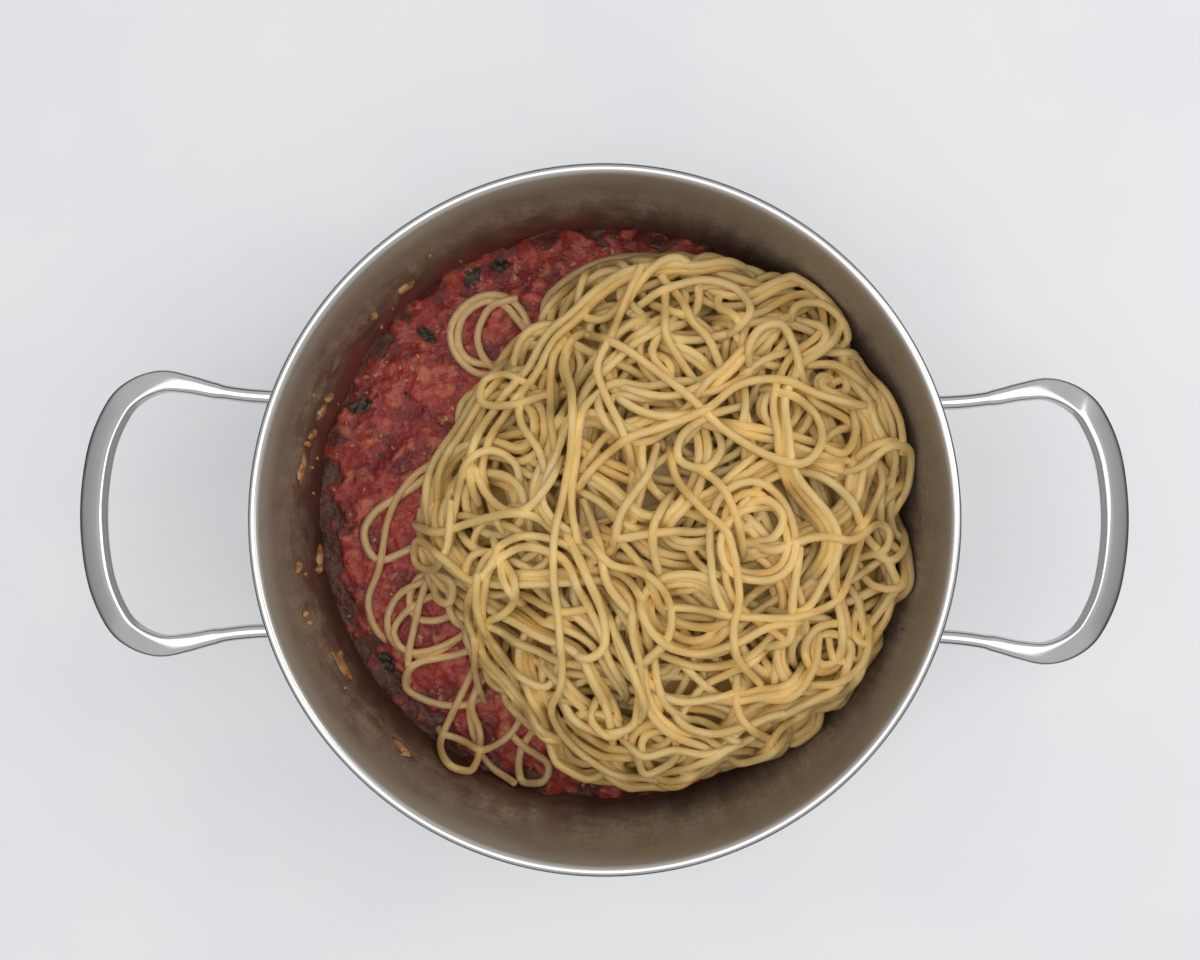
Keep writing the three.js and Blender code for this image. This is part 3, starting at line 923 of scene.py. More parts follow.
@dataclass
class Handle:
    """A bent rod, pressed into a flat band at the grip, with two welded pads."""

    node: str
    side: int
    reach: float = 181.9
    root_spread: float = 42.5
    root_z: float = 77.0
    grip_z: float = 86.0
    rod_radius: float = 2.7
    grip_width: float = 10.8
    grip_thickness: float = 4.0
    grip_tilt: float = 25.0
    grip_share: float = 0.86
    pad_radius: float = 8.0
    stations: int = 150
    sides: int = 28

    def route(self, wall: float) -> np.ndarray:
        """The rod's middle line.

        Args:
            wall: Radius of the pot's wall outside.

        Returns:
            Points from one foot round the grip to the other.
        """
        spread = self.root_spread
        half = [
            (math.sqrt(wall**2 - spread**2) - 0.5, spread),
            (120, spread),
            (131, spread + 0.6),
            (141, spread + 2),
            (150, spread + 4),
            (159, spread + 4.8),
            (167.5, spread + 1.2),
            (173.8, 36.8),
            (179.6, 21.8),
        ]
        flat = [*half, (self.reach, 0), *[(x, -y) for x, y in reversed(half)]]
        line = smooth_route(flat, 1.0)
        line = spaced(line, (np.linalg.norm(np.diff(line, axis=0), axis=1).sum()) / self.stations)
        rise = self.root_z + (self.grip_z - self.root_z) * smoothstep(line[:, 0], wall, self.reach)
        return np.column_stack([line, rise])

    def rod(self, wall: float) -> tuple[np.ndarray, list]:
        """The rod's skin.

        Args:
            wall: Radius of the pot's wall outside.

        Returns:
            Vertices and faces.
        """
        line = self.route(wall)
        share = np.linspace(0, 1, len(line))
        inward = 0.5 - np.abs(share - 0.5)
        pinch = smoothstep(inward, 0.135, 0.15)
        grip = smoothstep(inward, 0.14, 0.34)
        flat = (1 - self.grip_share) * pinch + self.grip_share * grip
        angles = (np.arange(self.sides) + 0.5) * 2 * math.pi / self.sides
        rings = []
        for k, middle in enumerate(line):
            along = Vector(line[min(k + 1, len(line) - 1)] - line[max(k - 1, 0)]).normalized()
            out = Vector((0, 0, 1)).cross(along).normalized()
            out.rotate(Matrix.Rotation(-math.radians(self.grip_tilt) * flat[k], 3, along))
            top = along.cross(out)
            width = np.interp(flat[k], [0, 1], [self.rod_radius, self.grip_width / 2])
            thick = np.interp(flat[k], [0, 1], [self.rod_radius, self.grip_thickness / 2])
            square = np.interp(flat[k], [0, 0.6, 1], [1, 0.55, 0.3])
            across = width * np.sign(np.cos(angles)) * np.abs(np.cos(angles)) ** square
            upward = thick * np.sign(np.sin(angles)) * np.abs(np.sin(angles)) ** square
            rings.append(middle + np.outer(across, out) + np.outer(upward, top))
        return lofted(np.array(rings))

    def pad(self, wall: float, sign: int) -> tuple[np.ndarray, np.ndarray]:
        """One flared foot on the wall.

        Args:
            wall: Radius of the pot's wall outside.
            sign: 1 for the far foot, -1 for the near one.

        Returns:
            Vertices and faces.
        """
        size = self.pad_radius
        profile = [(0, -0.5), (size, -0.5), (size, 0.9), (size - 0.5, 1.7), (size - 1.3, 2.1)]
        profile += [(4.6, 2.6), (3.5, 3.4), (2.9, 5.0), (self.rod_radius, 7.5), (0, 7.5)]
        vertices, faces = lathe(profile, 40)
        turn = sign * math.asin(self.root_spread / wall)
        z, y, x = -vertices[:, 0], vertices[:, 1], vertices[:, 2] + wall
        turned = np.column_stack([
            x * math.cos(turn) - y * math.sin(turn),
            x * math.sin(turn) + y * math.cos(turn),
            z + self.root_z,
        ])
        return turned, faces

    def build(self, polished: bpy.types.Material, wall: float) -> None:
        """Makes and dresses the handle.

        Args:
            polished: Its finish.
            wall: Radius of the pot's wall outside.
        """
        vertices, faces = joined([self.rod(wall), self.pad(wall, 1), self.pad(wall, -1)])
        vertices[:, 0] *= self.side
        piece = new_piece(f"{self.node}_rod", vertices, faces, sharp=50)
        settle_piece(piece, polished, Slot.POLISHED, self.node)


# ---- The heap's form ----

# How far the heap reaches from its middle, by direction.
HEAP_OUTLINE = (
    (0, 98), (30, 102), (60, 106), (92, 107), (106, 102), (120, 90), (134, 88), (155, 93), (175, 92),
    (200, 91), (214, 88), (235, 93), (258, 102), (282, 101), (312, 99), (340, 98),
)


@dataclass(frozen=True)
class HeapForm:
    """A flat dome tipped towards the right wall, cut off where it meets the wall."""

    inset: float
    crest: float
    shoulder: float
    slope: float
    flatness: float
    reach: float
    centre: tuple[float, float] = (18.0, -4.0)
    tallest: float = 0.2
    unevenness: float = 1.2
    wave: float = 40.0

    def to_circle(self, angle: np.ndarray, radius: float) -> np.ndarray:
        """How far a circle about the pot's axis lies from the heap's middle.

        Args:
            angle: Directions from the middle.
            radius: The circle's radius.

        Returns:
            The distance in each direction.
        """
        along = self.centre[0] * np.cos(angle) + self.centre[1] * np.sin(angle)
        return -along + np.sqrt(along**2 + radius**2 - math.hypot(*self.centre) ** 2)

    def outline(self, angle: np.ndarray) -> np.ndarray:
        """How far the outline lies from the heap's middle in each direction."""
        directions, radii = zip(*HEAP_OUTLINE)
        free = np.interp(np.degrees(angle), directions, radii, period=360) - self.inset
        return np.minimum(free, self.to_circle(angle, self.reach))

    def share(self, x: np.ndarray, y: np.ndarray) -> tuple[np.ndarray, np.ndarray]:
        """How far out a place lies: 0 in the middle and 1 on the outline.

        Args:
            x: Places along X.
            y: Places along Y.

        Returns:
            The shares and the directions.
        """
        u, v = x - self.centre[0], y - self.centre[1]
        angle = np.arctan2(v, u)
        return np.hypot(u, v) / self.outline(angle), angle

    def top(self, x: np.ndarray, y: np.ndarray) -> np.ndarray:
        """Height of the dome, or minus infinity outside it.

        Args:
            x: Places along X.
            y: Places along Y.

        Returns:
            The heights.
        """
        share, angle = self.share(x, y)
        shoulder = self.shoulder + self.slope * np.cos(angle - self.tallest)
        inside = np.clip(share, 0, 1)
        height = shoulder + (self.crest - shoulder) * (1 - inside**self.flatness)
        return np.where(share > 1, -np.inf, height + self.unevenness * ripple(x, y, self.wave))


# ---- The sauce ----


@dataclass(frozen=True)
class Chunk:
    """One ragged piece of tomato in the sauce."""

    x: float
    y: float
    size: float
    slim: float
    turn: float
    flesh: float
    orange: float

    def shape(self, x: np.ndarray, y: np.ndarray) -> tuple[np.ndarray, np.ndarray]:
        """Where the piece lies and how far it stands out of the juice.

        Args:
            x: Places along X.
            y: Places along Y.

        Returns:
            How far each place is inside its ragged edge, from 0 to 1, and its height.
        """
        u = ((x - self.x) * math.cos(self.turn) + (y - self.y) * math.sin(self.turn)) / self.size
        v = ((y - self.y) * math.cos(self.turn) - (x - self.x) * math.sin(self.turn)) / self.size
        bend = np.arctan2(v / self.slim, u)
        wild = 9 * self.turn
        edge = 0.8 + 0.13 * np.sin(2 * bend + wild) + 0.09 * np.sin(3 * bend - 2 * wild)
        edge += 0.06 * np.sin(6 * bend + 3 * wild)
        away = np.clip(np.hypot(u, v / self.slim) / edge, 0, 1)
        height = (0.25 + 0.12 * self.size) * (1 - away**2.5) * (1 + 0.35 * u)
        return 1 - away, height


@dataclass
class TomatoSauce:
    """Chopped tomato sauce from wall to wall, with a bed for the heap."""

    pot: PotBody
    bed: HeapForm
    level: float = 27.0
    relief: float = 0.9
    bed_bottom: float = 13.7
    gap: float = -0.15
    lumps: int = 1700
    covered: float = 0.93
    buried: float = 0.84
    highest_climb: float = 8.0
    columns: int = 720
    rows: int = 92
    seed: int = 11
    chunks: list[Chunk] = field(default_factory=list)

    def __post_init__(self) -> None:
        """Scatters the pieces of tomato over the open sauce."""
        random = np.random.default_rng(self.seed)
        while len(self.chunks) < self.lumps:
            x, y = random.uniform(-self.radius, self.radius, 2)
            share, _ = self.bed.share(np.array(x), np.array(y))
            size = 1.2 + 5.2 * random.random() ** 2.6
            if share < 0.86 or math.hypot(x, y) > self.radius - 0.5 * size:
                continue
            self.chunks.append(Chunk(
                x, y, size,
                slim=random.uniform(0.35, 0.9),
                turn=random.uniform(0, math.pi),
                flesh=random.uniform(0.3, 1.0),
                orange=0.9 * max(0.0, random.normal(0.1, 0.35)) ** 1.4,
            ))

    @property
    def radius(self) -> float:
        """Radius of the sauce's edge."""
        return self.pot.inner_radius - self.gap

    def surface(self, x: np.ndarray, y: np.ndarray) -> dict[str, np.ndarray]:
        """The surface with every piece of tomato.

        Args:
            x: Places along X.
            y: Places along Y.

        Returns:
            The heights, and by attribute how much flesh shows, how orange it is and how thin and
            browned the sauce is, each from 0 to 1.
        """
        lump, flesh, orange = np.zeros((3, *x.shape))
        for chunk in self.chunks:
            near = (np.abs(x - chunk.x) < chunk.size) & (np.abs(y - chunk.y) < chunk.size)
            inside, height = chunk.shape(x[near], y[near])
            upper = height > lump[near]
            cover = smoothstep(inside, 0.0, 0.5)
            lump[near] = np.where(upper, height, lump[near])
            flesh[near] = np.where(upper, chunk.flesh * cover, flesh[near])
            orange[near] = np.where(upper, chunk.orange * cover, orange[near])
        inward = self.radius - np.hypot(x, y)
        near_left = smoothstep(-y, -30, 10) * smoothstep(-x, 10, 60)
        ragged = 5 * ripple(x, y, 17) + 2.5 * ripple(y, x, 6)
        thin = 1 - smoothstep(inward + ragged, 0.8 + 4 * near_left, 3.5 + 7 * near_left)
        climb = 2.8 + 3.5 * ripple(x, y, 26) + 1.5 * ripple(y, x, 11) - 3 * near_left
        climb = np.clip(climb, 0.3, self.highest_climb) * smoothstep(-inward, -7, 0) ** 1.5
        low = self.level - 0.25 - 0.8 * thin + self.relief * ripple(x, y, 34)
        fine = 0.22 * ripple(x, y, 9) + 0.12 * ripple(y + 3, x, 4)
        height = low + lump * (1 - 0.6 * thin) * smoothstep(inward, -1, 5) + fine + climb
        return {"height": height, "flesh": flesh, "orange": orange, "thin": 0.85 * thin}

    def build(self, finish: bpy.types.Material) -> bpy.types.Object:
        """Makes and dresses the sauce.

        Args:
            finish: Its finish.

        Returns:
            The piece, with its attributes.
        """
        turns = np.arange(self.columns) * 2 * math.pi / self.columns
        cx, cy = self.bed.centre
        outline = self.bed.outline(turns)
        wall = self.bed.to_circle(turns, self.radius)
        shares = np.linspace(0, 1, self.rows)[:, None]
        edge = self.covered * outline
        radii = np.vstack([0 * edge, 0.45 * outline, self.buried * outline, edge + shares * (wall - edge)])
        x = cx + radii * np.cos(turns)
        y = cy + radii * np.sin(turns)
        values = self.surface(x, y)
        rise = smoothstep(radii / outline, self.buried, self.covered)
        z = self.bed_bottom + (values.pop("height") - self.bed_bottom) * rise
        corner = self.pot.corner_radius - self.gap
        bottom = self.pot.floor + self.gap
        rings = [np.stack([x, y, z], axis=-1)]
        for turn in np.radians([90, 68, 45, 22, 0]):
            shrink = 1 - corner * (1 - math.sin(turn)) / self.radius
            height = np.full(self.columns, bottom + corner * (1 - math.cos(turn)))
            rings.append(np.column_stack([x[-1] * shrink, y[-1] * shrink, height])[None])
        rings.append(np.full((1, self.columns, 3), (0, 0, bottom)))
        points = np.concatenate(rings)
        piece = self._mesh(points)
        for name, value in values.items():
            padded = np.zeros(points.shape[:2])
            padded[: len(value)] = value
            data = np.concatenate([padded[0, :1], padded[1:-1].ravel(), padded[-1, :1]])
            mark(piece.data, name, data)
        settle_piece(piece, finish, Slot.SAUCE, "tomato_sauce")
        return piece

    def _mesh(self, points: np.ndarray) -> bpy.types.Object:
        """Makes the mesh, with one vertex at each pole.

        Args:
            points: Rings of points, the first and last of them each in one place.

        Returns:
            The object.
        """
        rows, columns = points.shape[:2]
        middle = points[1:-1].reshape(-1, 3)
        vertices = np.vstack([points[0, :1], middle, points[-1, :1]])
        faces = ring_quads(rows - 2, columns, first=1).tolist()
        last = 1 + (rows - 3) * columns
        for column in range(columns):
            after = (column + 1) % columns
            faces.append([0, 1 + column, 1 + after])
            faces.append([len(vertices) - 1, last + after, last + column])
        mesh = bpy.data.meshes.new("sauce")
        mesh.from_pydata((vertices * MM).tolist(), [], faces)
        mesh.shade_smooth()
        return placed("sauce", mesh)


# ---- The noodles ----


@dataclass(frozen=True)
class Strand:
    """One noodle: its middle line, thickness and shade."""

    line: np.ndarray
    radius: float
    tint: float


class NoodleBed:
    """The height of all that lies in the pot, on a square grid, and the height wanted there."""

    def __init__(self, pitch: float, reach: float, noodle: float) -> None:
        """Makes an empty bed.

        Args:
            pitch: Width of a cell.
            reach: How far the grid goes from the pot's axis.
            noodle: Radius of a noodle.
        """
        self.pitch = pitch
        self.noodle = noodle
        self.half = math.ceil(reach / pitch)
        places = np.arange(-self.half, self.half + 1) * pitch
        self.x, self.y = np.meshgrid(places, places, indexing="ij")
        self.height = np.full(self.x.shape, -np.inf)
        self.wanted = np.full(self.x.shape, -np.inf)
        span = math.ceil(noodle / pitch)
        steps = np.arange(-span, span + 1)
        self.steps = np.stack(np.meshgrid(steps, steps, indexing="ij"), axis=-1).reshape(-1, 2)

    def cells(self, route: np.ndarray) -> tuple[np.ndarray, np.ndarray]:
        """The cell under each point of a route."""
        cell = np.clip(np.rint(route[:, :2] / self.pitch).astype(int) + self.half, 0, 2 * self.half)
        return cell[:, 0], cell[:, 1]

    def near(self, route: np.ndarray) -> tuple[np.ndarray, np.ndarray, np.ndarray]:
        """The cells under a noodle's width.

        Args:
            route: Points seen from above.

        Returns:
            Rows and columns of the cells of each point, and the half thickness of noodle over each,
            which is not a number where the noodle doesn't reach.
        """
        middle = np.rint(route[:, :2] / self.pitch).astype(int)
        cell = middle[:, None, :] + self.steps
        gap = cell * self.pitch - route[:, None, :2]
        square = self.noodle**2 - (gap**2).sum(axis=-1)
        thick = np.sqrt(np.where(square > 0, square, np.nan))
        cell = np.clip(cell + self.half, 0, 2 * self.half)
        return cell[..., 0], cell[..., 1], thick

    def rest(self, route: np.ndarray) -> np.ndarray:
        """The lowest height of a noodle's middle at each point of a route."""
        row, column, thick = self.near(route)
        return np.nanmax(self.height[row, column] + thick, axis=1)

    def cover(self, line: np.ndarray) -> None:
        """Adds a noodle to what lies there."""
        row, column, thick = self.near(line)
        top = line[:, 2, None] + np.where(np.isnan(thick), -np.inf, thick)
        np.maximum.at(self.height, (row, column), top)

    def lack(self, route: np.ndarray) -> float:
        """How much a noodle along a route would fill of what is wanted.

        Args:
            route: Points seen from above.

        Returns:
            The mean missing height, each place's held between -12 and 6.
        """
        row, column = self.cells(route)
        return float(np.clip(self.wanted[row, column] - self.height[row, column], -12, 6).mean())


def smoothed(line: np.ndarray, rounds: int) -> np.ndarray:
    """Evens out a run of values or points, both ends of which stay.

    Args:
        line: The values or points, in order.
        rounds: More rounds make it smoother.

    Returns:
        The smoother run.
    """
    line = line.copy()
    for _ in range(rounds):
        line[1:-1] = (line[:-2] + 2 * line[1:-1] + line[2:]) / 4
    return line


def slackened(low: np.ndarray, rounds: int) -> np.ndarray:
    """Lets a strand hang smoothly over what holds it up.

    Args:
        low: The lowest height at each point.
        rounds: More rounds make it stiffer.

    Returns:
        The heights.
    """
    height = low
    for _ in range(rounds):
        height = np.maximum(smoothed(height, 1), low)
    return height


# Loops that have slipped off the heap onto the sauce, seen from above.
SLIPPED_ROUTES: dict[str, Route] = {
    "upper_ring": (
        (-22, 60), (-30, 68), (-32, 78), (-38, 86), (-47, 89), (-57, 85), (-63, 76), (-62, 66),
        (-55, 58), (-46, 56), (-34, 58),
    ),
    "upper_ring_twin": (
        (-24, 64), (-34, 76), (-41, 84), (-49, 86), (-57, 81), (-60, 74), (-59, 66), (-53, 61), (-36, 60),
    ),
    "ring_cross": ((-36, 87), (-46, 84), (-51, 77), (-52, 69), (-48, 61), (-38, 54)),
    "top_loop": ((40, 94), (28, 103), (12, 105), (-6, 101), (-22, 90), (-25, 80), (-16, 75), (1, 77)),
    "top_loop_twin": ((32, 92), (14, 99), (-8, 93), (-19, 87), (-16, 80), (2, 76)),
    "left_bulge": ((-56, 20), (-68, 17), (-79, 9), (-93, 0), (-98, -10), (-92, -20), (-78, -15), (-58, -6)),
    "left_wave": ((-60, 24), (-77, 15), (-88, -3), (-91, -22), (-96, -36), (-93, -48), (-84, -58)),
    "low_ring": (
        (-48, -44), (-62, -38), (-66, -29), (-74, -26), (-79, -35), (-75, -44), (-62, -42), (-50, -24),
    ),
    "low_bow": (
        (-52, -22), (-68, -27), (-82, -33), (-88, -44), (-84, -55), (-72, -59), (-58, -51), (-48, -40),
    ),
    "low_bow_twin": ((-50, -30), (-66, -33), (-79, -40), (-85, -49), (-79, -57), (-66, -55), (-50, -46)),
    "hanging_end": ((-54, -14), (-69, -24), (-76, -44), (-79, -62), (-80, -78)),
    "inner_bow": ((-40, -50), (-58, -58), (-76, -62), (-80, -72), (-70, -78), (-56, -79), (-42, -72)),
    "low_end": ((-46, -60), (-54, -80), (-51, -96), (-45, -104), (-36, -112)),
    "fore_loop": (
        (-50, -58), (-60, -80), (-65, -91), (-66, -97), (-63, -103), (-57, -105), (-51, -102), (-49, -96),
        (-50, -88), (-53, -77), (-44, -60),
    ),
    "front_loop": (
        (-10, -64), (-24, -84), (-33, -97), (-32, -108), (-24, -110), (-22, -103), (-32, -95), (-44, -84),
    ),
    "fore_bow": ((-68, -89), (-56, -93), (-46, -95), (-38, -91), (-33, -83), (-31, -72), (-30, -60)),
    "front_bow": ((-20, -72), (-15, -90), (-7, -103), (6, -110), (25, -111)),
    "front_bow_twin": ((-26, -70), (-24, -88), (-12, -100), (2, -108), (14, -110)),
}

# The strands that lie uppermost, from the lowest of them to the top, seen from above.
UPPER_ROUTES: dict[str, Route] = {
    "back_slant": ((20, 90), (27, 81), (31, 72), (37, 65), (43, 51)),
    "back_pair": ((22, 84), (21, 68), (24, 61), (33, 49)),
    "inner_curl": ((41, 65), (48, 70), (44, 75), (41, 77), (42, 82), (47, 84)),
    "right_hook": ((88, 18), (95, 26), (103, 28), (110, 24), (112, 16)),
    "right_ring": ((90, 40), (91, 31), (86, 24), (79, 26), (75, 34)),
    "right_fork": ((69, 73), (79, 70), (79, 64), (72, 59)),
    "right_pair": ((73, 56), (83, 56), (92, 50), (100, 45)),
    "low_right_bow": ((79, -41), (76, -53), (66, -64), (54, -65)),
    "low_right_hook": ((82, -41), (84, -51), (92, -51)),
    "low_right_loop": ((93, -32), (91, -42), (97, -45), (104, -36), (106, -26)),
    "low_right_edge": ((98, -36), (94, -52), (84, -59), (74, -60)),
    "low_right_end": ((96, -50), (90, -62), (86, -69)),
    "fore_right_end": ((49, -57), (50, -72), (66, -86)),
    "fore_right_edge": ((46, -89), (53, -93), (66, -86), (73, -77)),
    "fore_right_bow": ((5, -81), (15, -88), (26, -86), (38, -87), (56, -81)),
    "fore_ring": ((13, -86), (16, -97), (25, -93), (29, -85)),
    "fore_edge": ((19, -101), (32, -93), (50, -83)),
    "fore_left_bow": ((-16, -65), (-11, -75), (-1, -80), (11, -77), (13, -66)),
    "fore_left_ring": ((-2, -67), (-4, -75), (3, -81), (11, -77)),
    "fore_bow_low": ((17, -62), (28, -67), (41, -66), (53, -62)),
    "left_ring": ((-68, -26), (-66, -34), (-60, -35), (-59, -27), (-65, -24)),
    "left_hang": ((-48, -25), (-53, -40), (-50, -50), (-51, -64), (-48, -80)),
    "left_slant": ((-38, -12), (-37, -22), (-30, -34)),
    "low_diagonal": ((-48, -40), (-34, -47), (-18, -53), (-6, -54)),
    "left_edge": ((-39, 60), (-50, 46), (-59, 31), (-67, 18), (-69, 4), (-68, -6)),
    "left_edge_twin": ((-36, 57), (-47, 43), (-56, 28), (-63, 16), (-65, 2)),
    "left_curl": ((-22, 45), (-33, 41), (-46, 42), (-46, 51), (-37, 53), (-26, 47)),
    "left_drop": ((-31, 47), (-31, 35), (-24, 24), (-21, 14)),
    "left_hook": ((-59, -15), (-56, 5), (-51, 19), (-42, 24), (-33, 19), (-31, 9)),
    "left_bay": ((-49, 18), (-44, 8), (-36, 2), (-28, 3), (-20, 12), (-16, 22)),
    "inner_drop": ((-8, 7), (-2, -9), (1, -23), (9, -33), (15, -36)),
    "inner_left": ((27, 11), (20, 3), (17, -6), (20, -22)),
    "inner_slant": ((19, 27), (15, 15), (6, 2), (3, -14)),
    "middle_ring": ((48, 3), (57, 7), (64, 1), (60, -7), (51, -8)),
    "middle_fork": ((49, -8), (60, -11), (70, -7)),
    "middle_drop": ((27, 21), (40, 13), (47, 0), (51, -15)),
    "right_drop": ((70, -10), (67, -30), (66, -43), (56, -47)),
    "right_low_ring": ((94, -16), (98, -24), (108, -24), (112, -13)),
    "right_low_bow": ((112, 2), (112, -8), (105, -15), (96, -11)),
    "right_inner_bow": ((96, 24), (101, 14), (97, 4), (89, -6)),
    "right_bow": ((83, 16), (92, 19), (101, 26), (110, 25), (112, 14), (106, -2)),
    "right_knot": ((62, -10), (77, -6), (88, -7), (98, -2), (104, -4), (103, -11), (94, -15)),
    "back_left": ((-15, 66), (-20, 58), (-20, 40), (-18, 24)),
    "back_loop": ((34, 88), (28, 95), (20, 94), (12, 86), (4, 73)),
    "back_fall": ((13, 93), (6, 77), (2, 66), (-3, 55), (-1, 46), (6, 31), (11, 17)),
    "back_arc": ((8, 75), (20, 83), (35, 87), (47, 84), (52, 76), (48, 69), (41, 65)),
    "right_arc": ((65, 68), (69, 77), (77, 79), (84, 75), (89, 67), (86, 62)),
    "rim_bow": ((85, 58), (92, 59), (100, 48), (106, 36), (107, 24)),
    "middle_span": ((1, 49), (6, 42), (17, 37), (30, 37), (47, 40)),
    "middle_span_twin": ((2, 49), (12, 45), (25, 44), (39, 50)),
    "middle_loop": ((51, 41), (38, 37), (28, 30), (27, 21), (36, 18), (42, 25), (40, 33)),
    "middle_curl": ((54, 51), (51, 60), (55, 68), (63, 70), (68, 63), (70, 54), (73, 47)),
    "long_diagonal": (
        (-6, 68), (11, 58), (28, 45), (42, 32), (59, 22), (70, 20), (77, 27), (77, 36), (69, 43), (56, 47),
    ),
    "rising_diagonal": (
        (-13, 5), (-4, 18), (8, 28), (22, 33), (36, 39), (48, 48), (62, 50), (78, 44), (92, 41), (99, 42),
    ),
    "left_bundle": ((-5, 71), (-13, 65), (-16, 55), (-12, 43), (-12, 23), (-15, 8), (-13, -3)),
    "inner_bundle": ((-2, 45), (-8, 38), (-10, 23), (-12, 4), (-8, -14)),
    "fore_step": ((13, -27), (16, -39), (22, -46), (12, -55)),
    "fore_drop": ((2, -37), (10, -54), (15, -68), (13, -77)),
    "left_loop": ((-15, -4), (-6, -21), (0, -36), (0, -47), (-7, -51), (-14, -46)),
    "fore_hook": ((-5, -9), (3, -17), (15, -20), (23, -29), (24, -41), (17, -50), (11, -54)),
    "fore_bow": ((13, -23), (14, -35), (22, -45), (34, -49), (46, -45), (60, -38), (75, -36)),
    "fore_span": ((19, -32), (33, -33), (54, -35), (70, -34), (84, -29), (91, -17), (92, -6)),
    "long_drop": ((23, 28), (26, 14), (34, 4), (44, -6), (48, -26), (46, -38), (48, -50), (58, -61)),
    "left_span": ((-77, -5), (-63, -7), (-50, -3), (-35, 1), (-25, 0), (-19, -5)),
    "left_pair": (
        (-58, 5), (-59, -12), (-66, -22), (-75, -20), (-73, -11), (-61, -16), (-48, -24), (-40, -15),
        (-42, -6),
    ),
    "low_sweep": ((-46, -21), (-47, -36), (-42, -50), (-32, -59), (-21, -63), (-16, -55)),
    "long_bundle": (
        (-12, 65), (-15, 57), (-12, 44), (-12, 25), (-15, 8), (-18, -8), (-18, -22), (-16, -40), (-15, -60),
        (-19, -74), (-10, -90), (6, -99), (22, -102),
    ),
}


@dataclass(frozen=True)
class Bend:
    """How a loose noodle bends: the range of its radius, and of its turn in radians."""

    radius: tuple[float, float]
    turn: tuple[float, float]


